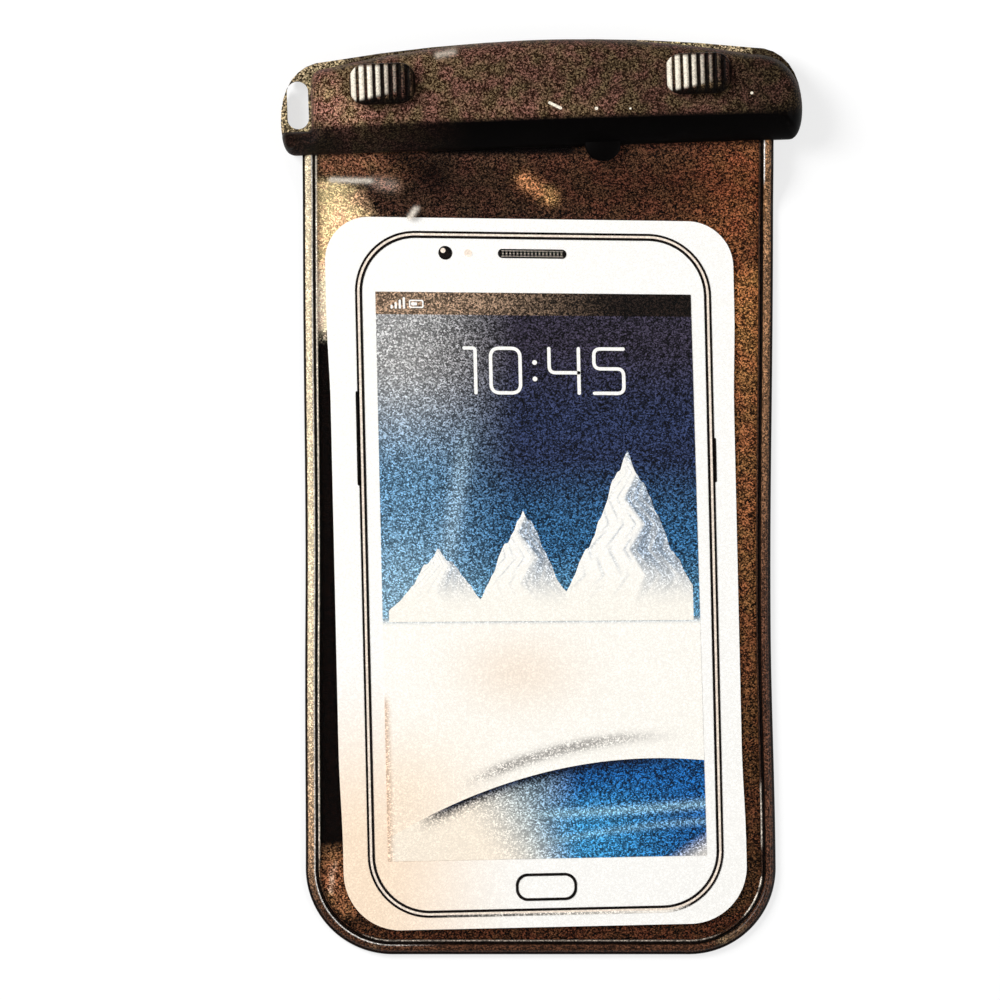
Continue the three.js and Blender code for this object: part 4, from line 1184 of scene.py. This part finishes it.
def knob_surface(columns, rows):
    """The pad as closed loops carried along its length: x runs from end to end, and each loop is a
    squared arch, flat below, whose width follows the rounded plan and whose top follows the dome
    and the ribs."""
    end = np.linspace(0, np.pi, columns)[:, None]
    x = -knob_half * np.cos(end)
    x = mix(x, np.linspace(-knob_half, knob_half, columns)[:, None], 0.85)
    from_end = knob_half - np.abs(x)
    fall = np.clip(knob_corner - from_end, 0, knob_corner)
    half = knob_side - knob_corner + np.sqrt(knob_corner**2 - fall**2)
    dome = knob_high - 1.3 * np.abs(x / knob_half) ** 3
    rounding = np.sqrt(np.clip(1 - (1 - np.clip(from_end / 0.9, 0, 1)) ** 2, 0, 1))
    turn = np.linspace(0, np.pi, rows)[None, :]
    y = half * np.sign(np.cos(turn)) * np.abs(np.cos(turn)) ** 0.55
    arch = np.sin(turn) ** 0.45
    crest = 0.5 - 0.5 * np.cos(2 * np.pi * (x + knob_half) / rib_pitch)
    on_top = rise(0.55, 0.9, arch)
    z = dome * rounding * arch - rib_depth * (1 - crest) * on_top * rise(0.1, 0.9, from_end)
    points = np.stack([x + 0 * y, y, knob_low + z], -1)
    return points, crest + 0 * y, x + 0 * y, y


def lathe(radii, heights, count=40):
    """A shape turned about the latch's axis from its radius at each height."""
    turn = np.linspace(0, 2 * np.pi, count + 1)[:-1]
    radii, heights = np.array(radii, float)[:, None], np.array(heights, float)[:, None]
    points = np.stack([radii * np.cos(turn), radii * np.sin(turn), heights + 0 * turn], -1)
    faces = quads(len(radii), count, ring=True)
    return points, outward(points.reshape(-1, 3), faces)


# Nylon 6: satin, dark grey-brown, faintly mottled.
nylon, tree = blank("moulded_nylon")
place = add(tree, "TexCoord", {})
mottle = add(tree, "TexNoise", {"Vector": place.outputs["Object"], "Scale": 1200.0, "Detail": 2.0})
body = add(tree, "Mix", {0: mottle.outputs["Fac"], 6: paint("#2c2621"), 7: paint("#46403a")}, data_type="RGBA")
shader = add(tree, "BsdfPrincipled", {"Base Color": body.outputs[2], "Roughness": 0.45})
add(tree, "OutputMaterial", {"Surface": shader.outputs[0]})

# Zinc-plated steel: pale grey with a soft spangle.
zinc, tree = blank("zinc_plated_steel")
place = add(tree, "TexCoord", {})
spangle = add(tree, "TexVoronoi", {"Vector": place.outputs["Object"], "Scale": 2500.0})
satin = add(tree, "MapRange", {"Value": spangle.outputs["Distance"], "To Min": 0.25, "To Max": 0.45})
metal = {"Base Color": paint("#b9b9b4"), "Metallic": 1.0}
shader = add(tree, "BsdfPrincipled", {**metal, "Roughness": satin.outputs[0]})
add(tree, "OutputMaterial", {"Surface": shader.outputs[0]})

for side, axis in (("left", latch_left), ("right", latch_right)):
    pad, crest, along, beside = knob_surface(150, 44)
    # the ribs' crests carry painted highlights, over more of the width to the left, where the light falls, than
    # to the right
    lit_end = rise(5.2, -3.5, along)
    thin = mix(0.45, 0.9, rise(-3, 5, along))
    bright = rise(thin - 0.25, thin + 0.1, crest) * lit_end
    slant = 0.19 * (along + 7)
    bright = bright * rise(-4.2 + slant, -3.3 + slant, beside) * rise(4.3, 3.6, beside)
    pad_faces = outward(pad.reshape(-1, 3), quads(*pad.shape[:2], ring=True))
    stem, stem_faces = lathe([0, 2, 2, 0], [2.5, 2.5, 13.2, 13.2])
    shells = [(pad, pad_faces), (stem, stem_faces)]
    shells = [(turned(points, clamp_turn, *axis[:2]), faces) for points, faces in shells]
    # and painted shade: black in the grooves, at the right end and along the lower edge
    shade = rise(0.75, 0.35, crest) * mix(0.55, 1.0, rise(-5.5, -1, along))
    shade = np.clip(shade + rise(2, 6, along) * 0.7 + rise(-2.6, -3.8, beside), 0, 1)
    pad_marks = {
        "painted_highlight": np.concatenate([bright.ravel(), np.zeros(stem[..., 0].size)]),
        "painted_shade": np.concatenate([(shade * 0.95).ravel(), np.ones(stem[..., 0].size)]),
    }
    latch = side + "_latch"
    piece(latch + "_pad", shells, clamp_abs, latch, [latch + "_knob"], marks=pad_marks)

    points, faces = lathe([2.1, 3.4, 3.4, 2.1, 2.1], [12.1, 12.1, 12.8, 12.8, 12.1])
    points = turned(points, 0, *axis[:2])
    piece(latch + "_ring", [(points, faces)], nylon, latch, [latch + "_washer"], smooth=False)
    moulding(latch + "_hook", latch + "_foot", nylon, latch, 0.25)
    moulding(latch + "_fixing", latch + "_screw", zinc, latch, 0.08)
